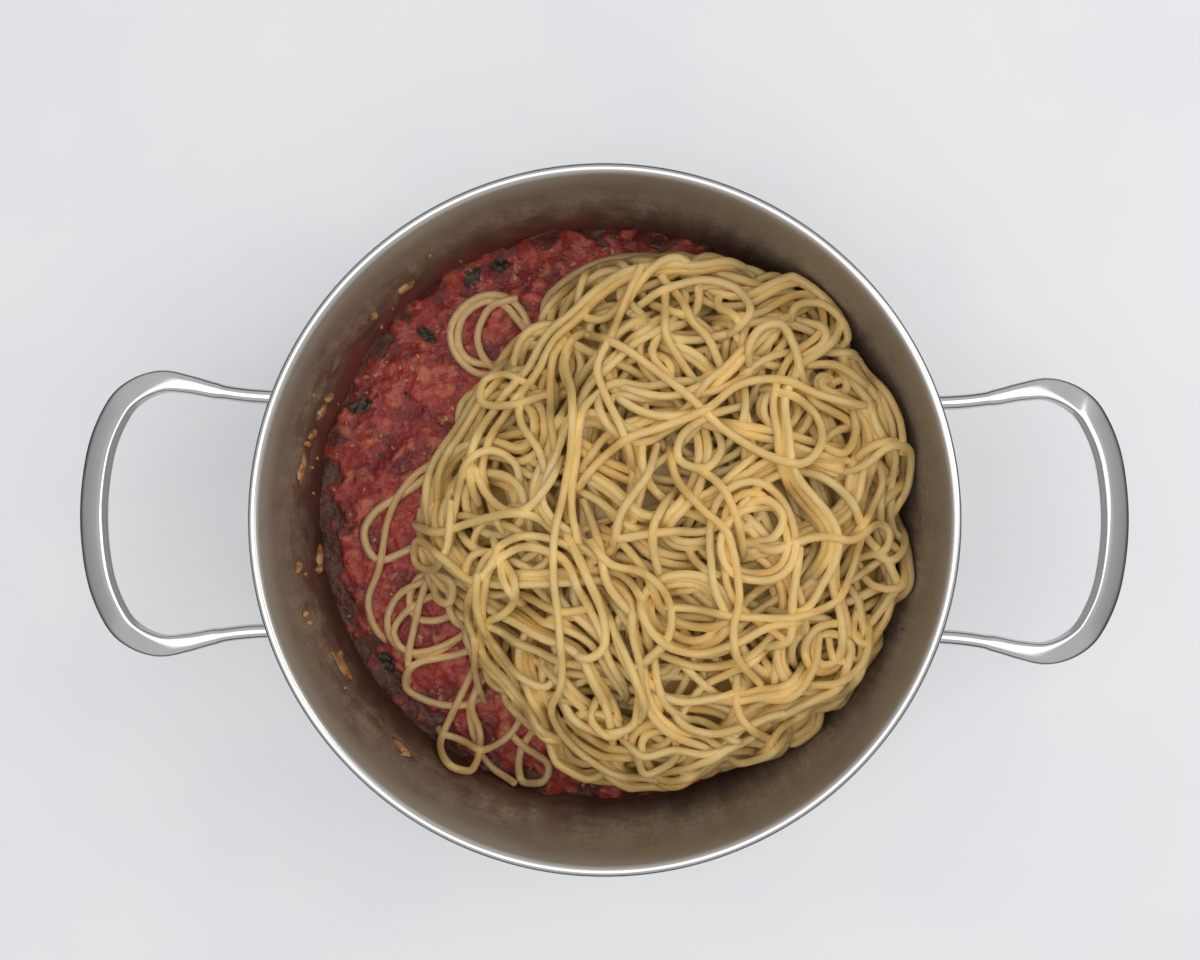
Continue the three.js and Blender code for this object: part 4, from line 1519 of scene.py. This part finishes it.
@dataclass
class SpaghettiHeap:
    """Some hundreds of noodles, laid one by one over a core."""

    pot: PotBody
    sauce: TomatoSauce
    core: HeapForm
    form: HeapForm
    noodle: float = 1.58
    length: float = 235.0
    step: float = 1.3
    pitch: float = 0.75
    press: float = 0.5
    stiffness: int = 30
    most: int = 260
    filled: float = -3.0
    look: float = 7.0
    candidates: int = 10
    curl_chance: float = 0.3
    open_ends: float = 0.08
    dive: float = 4.6
    lean: float = 450.0
    height_rounds: int = 3
    lean_rounds: int = 8
    turn_back: float = 0.93
    swelling: tuple[float, float] = (0.9, 1.04)
    tints: tuple[float, float] = (0.1, 0.7)
    packed_tint: float = 2.0
    curl: Bend = Bend((6.5, 13), (1.6, 4.8))
    sweep: Bend = Bend((32, 150), (0.3, 1.1))
    falls: tuple[int, ...] = (-90, 90, 0, 180)
    fall_shares: tuple[float, ...] = (0.4, 0.3, 0.15, 0.15)
    fall_spread: float = 35.0
    most_missing: float = 14.0
    bundles: tuple[int, ...] = (1, 2, 3, 4)
    bundle_shares: tuple[float, ...] = (0.4, 0.3, 0.2, 0.1)
    sides: int = 8
    seed: int = 5
    strands: list[Strand] = field(default_factory=list)

    def __post_init__(self) -> None:
        """Prepares the empty bed with sauce and core."""
        self.random = np.random.default_rng(self.seed)
        self.reach = self.form.reach
        self.bed = NoodleBed(self.pitch, self.pot.inner_radius, self.noodle)
        surface = self.sauce.surface(self.bed.x, self.bed.y)["height"]
        core = self.core.top(self.bed.x, self.bed.y)
        self.bed.height = np.maximum(surface, core)
        self.bed.wanted = self.form.top(self.bed.x, self.bed.y)

    def lay(self, route: np.ndarray) -> None:
        """Drapes one noodle over what is there and adds it.

        Args:
            route: Points seen from above.
        """
        beyond = np.maximum(np.hypot(route[:, 0], route[:, 1]) / self.reach, 1)
        route = route / beyond[:, None]
        low = self.bed.rest(route) - self.press
        low = np.maximum(low, np.where(beyond > 1, self.sauce.level + self.lean * (beyond - 1), -np.inf))
        over = self._over_itself(route)
        for _ in range(2):
            height = slackened(low, self.stiffness)
            low = np.maximum(low, (height[None] + over).max(axis=1))
        height = smoothed(slackened(low, self.stiffness), self.height_rounds)
        gone = np.arange(len(route)) * self.step
        for away in (gone, gone[::-1]):
            if self.random.random() > self.open_ends:
                height -= self.dive * (1 - smoothstep(away, 0, 3 * self.dive))
        line = np.column_stack([route, height])
        if beyond.max() > 1:
            line = smoothed(line, self.lean_rounds)
        self.bed.cover(line)
        radius = self.noodle * self.random.uniform(*self.swelling)
        self.strands.append(Strand(line, radius, self.random.uniform(*self.tints)))

    def _over_itself(self, route: np.ndarray) -> np.ndarray:
        """How far each point lies above each earlier one where a noodle crosses itself.

        Args:
            route: Points seen from above.

        Returns:
            The least rise of the row's point over the column's, and minus infinity where there is none.
        """
        apart = np.linalg.norm(route[:, None] - route[None], axis=-1)
        order = np.arange(len(route))
        crossing = (apart < 2 * self.noodle) & (order[:, None] - order > 4 * self.noodle / self.step)
        rise = np.sqrt(np.maximum(4 * self.noodle**2 - apart**2, 0)) - self.press
        return np.where(crossing, rise, -np.inf)

    def wander(self, start: tuple[float, float], heading: float, length: float) -> np.ndarray:
        """A route of bends and now and then a curl, drawn to hollows and turned back at the edge.

        Args:
            start: Where it begins.
            heading: Its first direction, in radians.
            length: How long it is.

        Returns:
            Points seen from above.
        """
        random = self.random
        points = [start]
        bend, wanted, hold = 0.0, 0.0, 0.0
        for _ in range(round(length / self.step)):
            if hold <= 0:
                kind = self.curl if random.random() < self.curl_chance else self.sweep
                radius = random.uniform(*kind.radius)
                turn = random.uniform(*kind.turn)
                wanted = random.choice([-1, 1]) / radius
                hold = min(turn * radius, 60)
            hold -= self.step
            x, y = points[-1]
            bend += (wanted + self._downhill(x, y, heading) - bend) * 0.3
            share, angle = self.form.share(np.array(x), np.array(y))
            outward = math.cos(heading - angle)
            if share > self.turn_back and outward > -0.15:
                bend = math.copysign(0.05 + 1.6 * (share - self.turn_back), math.sin(heading - angle))
            heading += bend * self.step
            points.append((x + self.step * math.cos(heading), y + self.step * math.sin(heading)))
        return np.array(points)

    def _downhill(self, x: float, y: float, heading: float) -> float:
        """How strongly a noodle bends to the lower side ahead of it.

        Args:
            x: Where its end is.
            y: Where its end is.
            heading: Where it goes, in radians.

        Returns:
            The curvature to add, positive to the left.
        """
        sides = np.array([heading + 0.6, heading - 0.6])
        ahead = np.column_stack([x + self.look * np.cos(sides), y + self.look * np.sin(sides)])
        row, column = self.bed.cells(ahead)
        wanted = np.maximum(self.bed.wanted[row, column], self.sauce.level)
        left, right = self.bed.height[row, column] - wanted
        return float(np.clip((right - left) * 0.013, -0.06, 0.06))

    def fill(self) -> None:
        """Lays loose noodles where they are missing most, singly or in small bundles."""
        bed = self.bed
        inside = bed.wanted > 0
        laid = 0
        while laid < self.most and (bed.height - bed.wanted)[inside].mean() < self.filled:
            missing = np.clip(bed.wanted - bed.height, 0, self.most_missing)
            weight = (missing**2).ravel()
            starts = self.random.choice(weight.size, self.candidates, p=weight / weight.sum())
            routes = []
            for cell in starts:
                start = (bed.x.flat[cell], bed.y.flat[cell])
                length = self.length * self.random.uniform(0.6, 1.0)
                fall = self.random.choice(self.falls, p=self.fall_shares)
                heading = math.radians(self.random.normal(fall, self.fall_spread))
                routes.append(self.wander(start, heading, length))
            best = max(routes, key=bed.lack)
            for copy in range(int(self.random.choice(self.bundles, p=self.bundle_shares))):
                self.lay(self._beside(best, copy))
                laid += 1
        log.info("filled the heap with %d loose noodles", laid)

    def _beside(self, route: np.ndarray, place: int) -> np.ndarray:
        """The same route shifted sideways, as noodles lie in a bundle.

        Args:
            route: Points seen from above.
            place: How many noodles away.

        Returns:
            The shifted points.
        """
        along = np.gradient(route, axis=0)
        normal = np.column_stack([-along[:, 1], along[:, 0]])
        normal /= np.linalg.norm(normal, axis=1, keepdims=True)
        drift = 2 * self.noodle * place * (1.05 + 0.5 * np.sin(np.linspace(0, 4, len(route)) + place))
        moved = route + normal * drift[:, None]
        cut = self.random.integers(0, 24, 2)
        moved = moved[cut[0]: len(moved) - cut[1]]
        share, _ = self.form.share(*moved.T)
        middle = np.array(self.form.centre)
        return spaced(middle + (moved - middle) / np.maximum(share, 1)[:, None], self.step)

    def draw(self) -> None:
        """Lays all the noodles, from the sauce to the crest."""
        for route in SLIPPED_ROUTES.values():
            self.lay(smooth_route(route, self.step))
        self.fill()
        for route in UPPER_ROUTES.values():
            self.lay(smooth_route(route, self.step))

    def build(self, finish: bpy.types.Material) -> None:
        """Makes and dresses the noodles and their core.

        Args:
            finish: Their finish.
        """
        self.draw()
        settle_piece(self._core_piece(), finish, Slot.PASTA, "spaghetti_heap")
        tree = self._tube_tree()
        for number, group in enumerate(self._groups(), start=1):
            source = self._polylines(group)
            piece = run_tree(f"noodles_{number}", source, tree, {"Sides": self.sides, "Finish": finish})
            settle_piece(piece, finish, Slot.PASTA, "spaghetti_heap")

    def _groups(self, most: int = 170000) -> list[list[Strand]]:
        """Splits the noodles into pieces that stay small enough.

        Args:
            most: Triangles in a piece.

        Returns:
            The strands of each piece.
        """
        groups, count = [[]], 0
        for strand in self.strands:
            triangles = 2 * self.sides * (len(strand.line) + 1)
            if count + triangles > most:
                groups.append([])
                count = 0
            groups[-1].append(strand)
            count += triangles
        return groups

    @staticmethod
    def _polylines(strands: list[Strand]) -> bpy.types.Mesh:
        """A mesh of bare lines that carry thickness and shade.

        Args:
            strands: The noodles.

        Returns:
            The mesh.
        """
        vertices = np.vstack([strand.line for strand in strands]) * MM
        edges, first = [], 0
        for strand in strands:
            start = np.arange(first, first + len(strand.line) - 1)
            edges.append(np.column_stack([start, start + 1]))
            first += len(strand.line)
        mesh = bpy.data.meshes.new("noodle_lines")
        mesh.from_pydata(vertices.tolist(), np.vstack(edges).tolist(), [])
        widths = np.concatenate([np.full(len(s.line), s.radius * MM) for s in strands])
        tints = np.concatenate([np.full(len(s.line), s.tint) for s in strands])
        mark(mesh, "width", widths)
        mark(mesh, "tint", tints)
        return mesh

    @staticmethod
    def _tube_tree() -> bpy.types.NodeTree:
        """Turns lines into round noodles with cut ends."""
        graph, entry, leave = start_tree(
            "noodle_tubes",
            "GeometryNodeTree",
            {"Geometry": "Geometry", "Sides": "Int", "Finish": "Material"},
            {"Geometry": "Geometry"},
        )
        curve = graph.add("GeometryNodeMeshToCurve", {"Mesh": entry["Geometry"]}).outputs[0]
        inputs = {"Name": "width"}
        width = graph.add("GeometryNodeInputNamedAttribute", inputs, data_type="FLOAT").outputs[0]
        inputs = {"Resolution": entry["Sides"], "Radius": 1.0}
        ring = graph.add("GeometryNodeCurvePrimitiveCircle", inputs).outputs[0]
        inputs = {"Curve": curve, "Profile Curve": ring, "Scale": width, "Fill Caps": True}
        tube = graph.add("GeometryNodeCurveToMesh", inputs).outputs[0]
        solid = graph.add("GeometryNodeRealizeInstances", {"Geometry": tube}).outputs[0]
        inputs = {"Geometry": solid, "Material": entry["Finish"]}
        dressed = graph.add("GeometryNodeSetMaterial", inputs).outputs[0]
        graph.tree.links.new(dressed, leave["Geometry"])
        return graph.tree

    def _core_piece(self) -> bpy.types.Object:
        """The dome that the noodles cover."""
        turns = np.arange(120) * 2 * math.pi / 120
        outline = self.core.outline(turns)
        cx, cy = self.core.centre

        def ring(share: float, height: float | None = None) -> np.ndarray:
            """One ring of the dome, at a given height or on its top."""
            x = cx + share * outline * np.cos(turns)
            y = cy + share * outline * np.sin(turns)
            z = self.core.top(cx + (x - cx) * 0.999, cy + (y - cy) * 0.999)
            return np.column_stack([x, y, z if height is None else np.full(len(x), height)])

        rings = [ring(0.82, 14), ring(0.92, self.sauce.level)]
        rings += [ring(share) for share in (1, 0.96, 0.9, 0.8, 0.68, 0.54, 0.4, 0.26, 0.12)]
        vertices, faces = lofted(np.array(rings))
        piece = new_piece("spaghetti_core", vertices, faces)
        mark(piece.data, "tint", np.full(len(piece.data.vertices), self.packed_tint))
        return piece


# ---- Bits on wall and sauce ----


@dataclass
class FriedOnion:
    """Golden bits of onion that stick to the wall above the sauce."""

    pot: PotBody
    places: tuple = (
        (131.7, 56, 9), (139.6, 60, 6), (157.5, 52, 7), (160.5, 55, 9), (165, 58, 7), (167, 61, 5),
        (171.8, 62, 11), (190, 68, 7), (189, 35, 10), (191.5, 39, 6), (198.6, 73, 5), (200.4, 72, 4),
        (210.4, 57, 14), (208.4, 53, 6), (229.1, 64.6, 10), (230.4, 68, 4),
    )
    thick: float = 3.0
    crumbs: int = 14
    crumb_thick: float = 1.5
    seed: int = 8

    def morsel(self, angle: float, height: float, length: float, thick: float) -> tuple[np.ndarray, list]:
        """One crumpled bit, flat against the wall.

        Args:
            angle: Where round the pot.
            height: How high on the wall.
            length: How long.
            thick: How far it stands out.

        Returns:
            Vertices and faces.
        """
        ball = bmesh.new()
        bmesh.ops.create_icosphere(ball, subdivisions=3, radius=0.5)
        lean = Matrix.Rotation(math.radians(60 - length * 12), 3, "X")
        turn = Matrix.Rotation(math.radians(angle), 3, "Z") @ lean
        place = Vector((self.pot.inner_radius - 0.5, 0, 0))
        place.rotate(Matrix.Rotation(math.radians(angle), 3, "Z"))
        deepest = self.pot.inner_radius + self.pot.sheet / 3
        points = []
        for vertex in ball.verts:
            wobble = solid_noise.noise_vector(vertex.co * 3.1 + Vector((angle, height, 0)))
            spot = vertex.co * (1 + 0.25 * wobble.x) + wobble * 0.14
            spot = Vector((spot.x * thick, spot.y * length * 0.55, spot.z * length))
            spot.rotate(turn)
            spot += place
            past = max(math.hypot(spot.x, spot.y) / deepest, 1)
            points.append([spot.x / past, spot.y / past, spot.z + height])
        faces = [[v.index for v in face.verts] for face in ball.faces]
        ball.free()
        return np.array(points), faces

    def build(self, finish: bpy.types.Material) -> None:
        """Makes and dresses the bits.

        Args:
            finish: Their finish.
        """
        random = np.random.default_rng(self.seed)
        solid_noise.seed_set(self.seed)
        bits = [self.morsel(*place, self.thick) for place in self.places]
        for _ in range(self.crumbs):
            angle = random.uniform(118, 240)
            height = random.uniform(31, 74)
            bits.append(self.morsel(angle, height, random.uniform(1.2, 3.2), self.crumb_thick))
        vertices, faces = joined(bits)
        piece = new_piece("wall_onion", vertices, faces, sharp=80)
        settle_piece(piece, finish, Slot.ONION, "pot_body")


@dataclass
class BasilLeaf:
    """A dark, wilted leaf on the sauce."""

    number: int
    x: float
    y: float
    length: float
    direction: float
    thickness: float = 0.5
    rows: int = 28
    columns: int = 13

    def build(self, finish: bpy.types.Material, sauce: TomatoSauce) -> None:
        """Makes and dresses the leaf.

        Args:
            finish: Its finish.
            sauce: What it lies on.
        """
        along = np.linspace(0, 1, self.rows)
        across = np.linspace(-1, 1, self.columns)
        s, t = np.meshgrid(along, across, indexing="ij")
        half = 0.32 * self.length * np.sin(np.pi * (0.05 + 0.9 * s)) ** 0.8
        u = (s - 0.5) * self.length + 0.5 * np.sin(9 * t + self.number)
        v = t * half * (1 + 0.12 * np.sin(11 * s + self.number))
        turn = math.radians(self.direction)
        x = self.x + u * math.cos(turn) - v * math.sin(turn)
        y = self.y + u * math.sin(turn) + v * math.cos(turn)
        wave = 0.5 * np.sin(7 * s + 2 * t) + 0.35 * np.cos(13 * s - 3 * t + self.number)
        curl = 0.9 * t**2 * np.sin(4 * s + self.number)
        z = sauce.surface(x, y)["height"] + 1.1 + wave + curl - 0.25 * np.exp(-((t / 0.12) ** 2))
        upper = np.stack([x, y, z], axis=-1).reshape(-1, 3)
        lower = upper - [0, 0, self.thickness]
        piece = new_piece(f"basil_{self.number}", *self._sheet(upper, lower), sharp=50)
        settle_piece(piece, finish, Slot.HERB, f"basil_leaf_{self.number}")

    def _sheet(self, upper: np.ndarray, lower: np.ndarray) -> tuple[np.ndarray, list]:
        """Closes two faces of a sheet round their edge.

        Args:
            upper: Points of the upper face, row by row.
            lower: Points of the lower face.

        Returns:
            Vertices and faces.
        """
        count = len(upper)
        faces = []
        for row in range(self.rows - 1):
            for column in range(self.columns - 1):
                a = row * self.columns + column
                quad = [a, a + 1, a + 1 + self.columns, a + self.columns]
                faces += [quad, [index + count for index in reversed(quad)]]
        first = [row * self.columns for row in range(self.rows - 1)]
        last_row = [(self.rows - 1) * self.columns + column for column in range(self.columns - 1)]
        edge = first + last_row
        edge += [count - 1 - index for index in edge]
        for a, b in zip(edge, edge[1:] + edge[:1]):
            faces.append([a, b, b + count, a + count])
        return np.vstack([upper, lower]), faces


@dataclass(frozen=True)
class Sprinkle:
    """One kind of small bit strewn over the open sauce."""

    name: str
    slot: Slot
    density: float
    size: tuple[float, float, float]
    seed: int


@dataclass
class SauceBits:
    """Seeds, onion and herb that lie on the sauce."""

    sauce: bpy.types.Object
    kinds: tuple[Sprinkle, ...] = (
        Sprinkle("tomato_seeds", Slot.ONION, 14000, (1.5, 1.1, 0.5), 3),
        Sprinkle("onion_flakes", Slot.ONION, 5200, (2.8, 1.5, 0.7), 5),
        Sprinkle("herb_flecks", Slot.HERB, 1300, (3.4, 1.7, 0.45), 9),
    )
    lowest: float = 25.0

    @staticmethod
    def _tree() -> bpy.types.NodeTree:
        """Strews crumpled bits over the faces that an attribute marks."""
        graph, entry, leave = start_tree(
            "strewn_bits",
            "GeometryNodeTree",
            {
                "Geometry": "Geometry", "Density": "Float", "Size": "Vector", "Seed": "Int",
                "Finish": "Material",
            },
            {"Geometry": "Geometry"},
        )
        inputs = {"Name": "open"}
        marked = graph.add("GeometryNodeInputNamedAttribute", inputs, data_type="FLOAT").outputs[0]
        density = graph.math("MULTIPLY", marked, entry["Density"])
        inputs = {"Mesh": entry["Geometry"], "Density": density, "Seed": entry["Seed"]}
        points = graph.add("GeometryNodeDistributePointsOnFaces", inputs)
        ball = graph.add("GeometryNodeMeshIcoSphere", {"Radius": 0.5, "Subdivisions": 2}).outputs[0]
        shaped = graph.add("GeometryNodeTransform", {"Geometry": ball, "Scale": entry["Size"]}).outputs[0]
        inputs = {"Min": (-0.35, -0.35, 0.0), "Max": (0.35, 0.35, 6.28), "Seed": entry["Seed"]}
        turn = graph.add("FunctionNodeRandomValue", inputs, data_type="FLOAT_VECTOR").outputs[0]
        inputs = {"Min_001": 0.5, "Max_001": 1.25, "Seed": entry["Seed"]}
        scale = graph.add("FunctionNodeRandomValue", inputs, data_type="FLOAT").outputs[1]
        inputs = {"Points": points.outputs[0], "Instance": shaped, "Rotation": turn, "Scale": scale}
        placed = graph.add("GeometryNodeInstanceOnPoints", inputs).outputs[0]
        solid = graph.add("GeometryNodeRealizeInstances", {"Geometry": placed}).outputs[0]
        cloud = graph.add("ShaderNodeTexNoise", {"Scale": 900.0, "Detail": 1.0}).outputs[1]
        inputs = {0: cloud, 1: (0.5, 0.5, 0.5)}
        shift = graph.add("ShaderNodeVectorMath", inputs, operation="SUBTRACT").outputs[0]
        inputs = {0: shift, "Scale": 1.4 * MM}
        offset = graph.add("ShaderNodeVectorMath", inputs, operation="SCALE").outputs[0]
        crumpled = graph.add("GeometryNodeSetPosition", {"Geometry": solid, "Offset": offset}).outputs[0]
        inputs = {"Geometry": crumpled, "Material": entry["Finish"]}
        dressed = graph.add("GeometryNodeSetMaterial", inputs).outputs[0]
        graph.tree.links.new(dressed, leave["Geometry"])
        return graph.tree

    def build(self, finishes: dict[Slot, bpy.types.Material], heap: HeapForm, reach: float) -> None:
        """Strews every kind.

        Args:
            finishes: The finish of each slot.
            heap: The heap's form, which they keep clear of.
            reach: How far from the pot's axis they may lie.
        """
        tree = self._tree()
        for kind in self.kinds:
            source = self.sauce.data.copy()
            spots = np.empty(len(source.vertices) * 3)
            source.vertices.foreach_get("co", spots)
            x, y, z = spots.reshape(-1, 3).T / MM
            share, _ = heap.share(x, y)
            free = (share > 0.98) & (np.hypot(x, y) < reach) & (z > self.lowest)
            mark(source, "open", free.astype(float))
            values = {
                "Density": float(kind.density),
                "Size": tuple(side * MM for side in kind.size),
                "Seed": kind.seed,
                "Finish": finishes[kind.slot],
            }
            piece = run_tree(kind.name, source, tree, values, sharp=80)
            settle_piece(piece, finishes[kind.slot], kind.slot)


# ---- Studio ----


@dataclass
class Studio:
    """Camera straight above, pale floor and soft light."""

    camera_place: tuple[float, float, float] = (-1.7, 13.4, 478.0)
    view_angle: float = 2 * math.degrees(math.atan(600 / 1100))
    roll: float = 0.5
    floor_half: float = 310.0
    pale: tuple = srgb(226, 227, 229)
    shaded: tuple = srgb(223, 224, 227)
    horizon: tuple = (0.06, 0.06, 0.065, 1.0)
    middle: tuple = (0.64, 0.64, 0.645, 1.0)
    zenith: tuple = (2.4, 2.4, 2.41, 1.0)
    lit: tuple[float, float, float] = (0.0, 0.0, 50.0)

    def camera(self) -> None:
        """Places the camera as in the photograph."""
        data = bpy.data.cameras.new("camera")
        data.sensor_fit = "HORIZONTAL"
        data.angle = math.radians(self.view_angle)
        camera = placed("camera", data)
        camera.location = Vector(self.camera_place) * MM
        camera.rotation_euler = (0, 0, math.radians(self.roll))
        bpy.context.scene.camera = camera

    def floor(self, effects: SharedEffects) -> None:
        """Lays a plain pale floor."""
        half = self.floor_half
        corners = np.array([(-half, -half, 0), (half, -half, 0), (half, half, 0), (-half, half, 0)])
        piece = new_piece("floor", corners, [(0, 1, 2, 3)])
        finish = Finish("pale_floor", effects, Roughness=0.6)
        cloud = finish.effect(effects.mottle, Scale=8.0, Low=0.0, High=1.0)
        finish.drive(Base_Color=finish.graph.mixed(cloud, self.pale, self.shaded))
        piece.data.materials.append(finish.material)

    def lamp(self, name: str, place: tuple, size: float, power: float, colour: tuple) -> None:
        """Adds a soft square lamp that faces the pot.

        Args:
            name: Its name.
            place: Where it hangs, in millimetres.
            size: Its width in millimetres.
            power: Its power in watts.
            colour: Its colour.
        """
        data = bpy.data.lights.new(name, "AREA")
        data.size = size * MM
        data.energy = power
        data.color = colour
        light = placed(name, data)
        light.location = Vector(place) * MM
        towards = Vector(self.lit) * MM - light.location
        light.rotation_euler = towards.to_track_quat("-Z", "Y").to_euler()

    def lights(self) -> None:
        """Lights the table from the right and from above."""
        self.lamp("window", (900, 300, 900), 700, 3.0, (1.0, 0.98, 0.95))
        self.lamp("fill", (-500, -200, 1000), 600, 0.8, (1.0, 0.99, 0.97))
        world = bpy.data.worlds.new("room")
        world.use_nodes = True
        graph = Graph(world.node_tree)
        direction = graph.add("ShaderNodeTexCoord").outputs["Generated"]
        height = graph.add("ShaderNodeSeparateXYZ", {0: direction}).outputs[2]
        colour = graph.mixed(graph.spread(height, 0.05, 0.38), self.horizon, self.middle)
        colour = graph.mixed(graph.spread(height, 0.86, 0.98), colour, self.zenith)
        graph.tree.links.new(colour, world.node_tree.nodes["Background"].inputs["Color"])
        bpy.context.scene.world = world

    def build(self, effects: SharedEffects) -> None:
        """Sets up camera, floor and light."""
        self.camera()
        self.floor(effects)
        self.lights()
        bpy.context.scene.view_settings.view_transform = "Standard"


# Place along X and Y, length and direction of each basil leaf.
LEAVES = (
    (-99.5, 43, 9.5, 20),
    (-54.5, 96, 9, 50),
    (-43.5, 101, 8, 10),
    (-88, -62, 9, 120),
    (-73, 72, 8, 140),
)

NOODLE_INSET = 2.2
BITS_INSET = 3.0


def make_finishes(effects: SharedEffects) -> dict[Slot, bpy.types.Material]:
    """Makes the material of every slot.

    Args:
        effects: The shared groups.

    Returns:
        The materials by slot.
    """
    kinds = {
        Slot.STEEL: SteelFinish(
            "cooked_in_steel_with_painted_light", (0.62, 0.61, 0.6, 1.0), smooth=0.13, rough=0.24, line_depth=2e-5, soiled_and_light_painted=True
        ),
        Slot.POLISHED: SteelFinish(
            "polished_steel", (0.68, 0.68, 0.69, 1.0), smooth=0.1, rough=0.17, line_depth=4e-6
        ),
        Slot.SAUCE: SauceFinish(),
        Slot.PASTA: PastaFinish(),
        Slot.ONION: MorselFinish(
            "fried_onion", srgb(194, 150, 98), srgb(140, 86, 52), scale=260.0, rough=0.3, coat=0.3
        ),
        Slot.HERB: MorselFinish(
            "wilted_basil", srgb(84, 76, 58), srgb(46, 42, 34), scale=400.0, rough=0.4, coat=0.1
        ),
    }
    return {slot: kind.build(effects) for slot, kind in kinds.items()}


def main() -> None:
    """Builds the whole scene."""
    logging.basicConfig(level=logging.INFO, format="%(name)s: %(message)s")
    effects = SharedEffects()
    Studio().build(effects)
    finishes = make_finishes(effects)
    pot = PotBody()
    pot.build(finishes[Slot.STEEL])
    for node, side in (("handle_right", 1), ("handle_left", -1)):
        Handle(node, side).build(finishes[Slot.POLISHED], pot.wall_radius)
    reach = pot.inner_radius - NOODLE_INSET
    core = HeapForm(inset=9, crest=71, shoulder=44, slope=20, flatness=3.4, reach=reach - 4)
    form = HeapForm(inset=0, crest=84.5, shoulder=55, slope=21, flatness=3.6, reach=reach)
    sauce = TomatoSauce(pot, core)
    sauce_piece = sauce.build(finishes[Slot.SAUCE])
    FriedOnion(pot).build(finishes[Slot.ONION])
    for number, leaf in enumerate(LEAVES, start=1):
        BasilLeaf(number, *leaf).build(finishes[Slot.HERB], sauce)
    SauceBits(sauce_piece).build(finishes, form, sauce.radius - BITS_INSET)
    SpaghettiHeap(pot, sauce, core, form).build(finishes[Slot.PASTA])


if __name__ == "__main__":
    main()
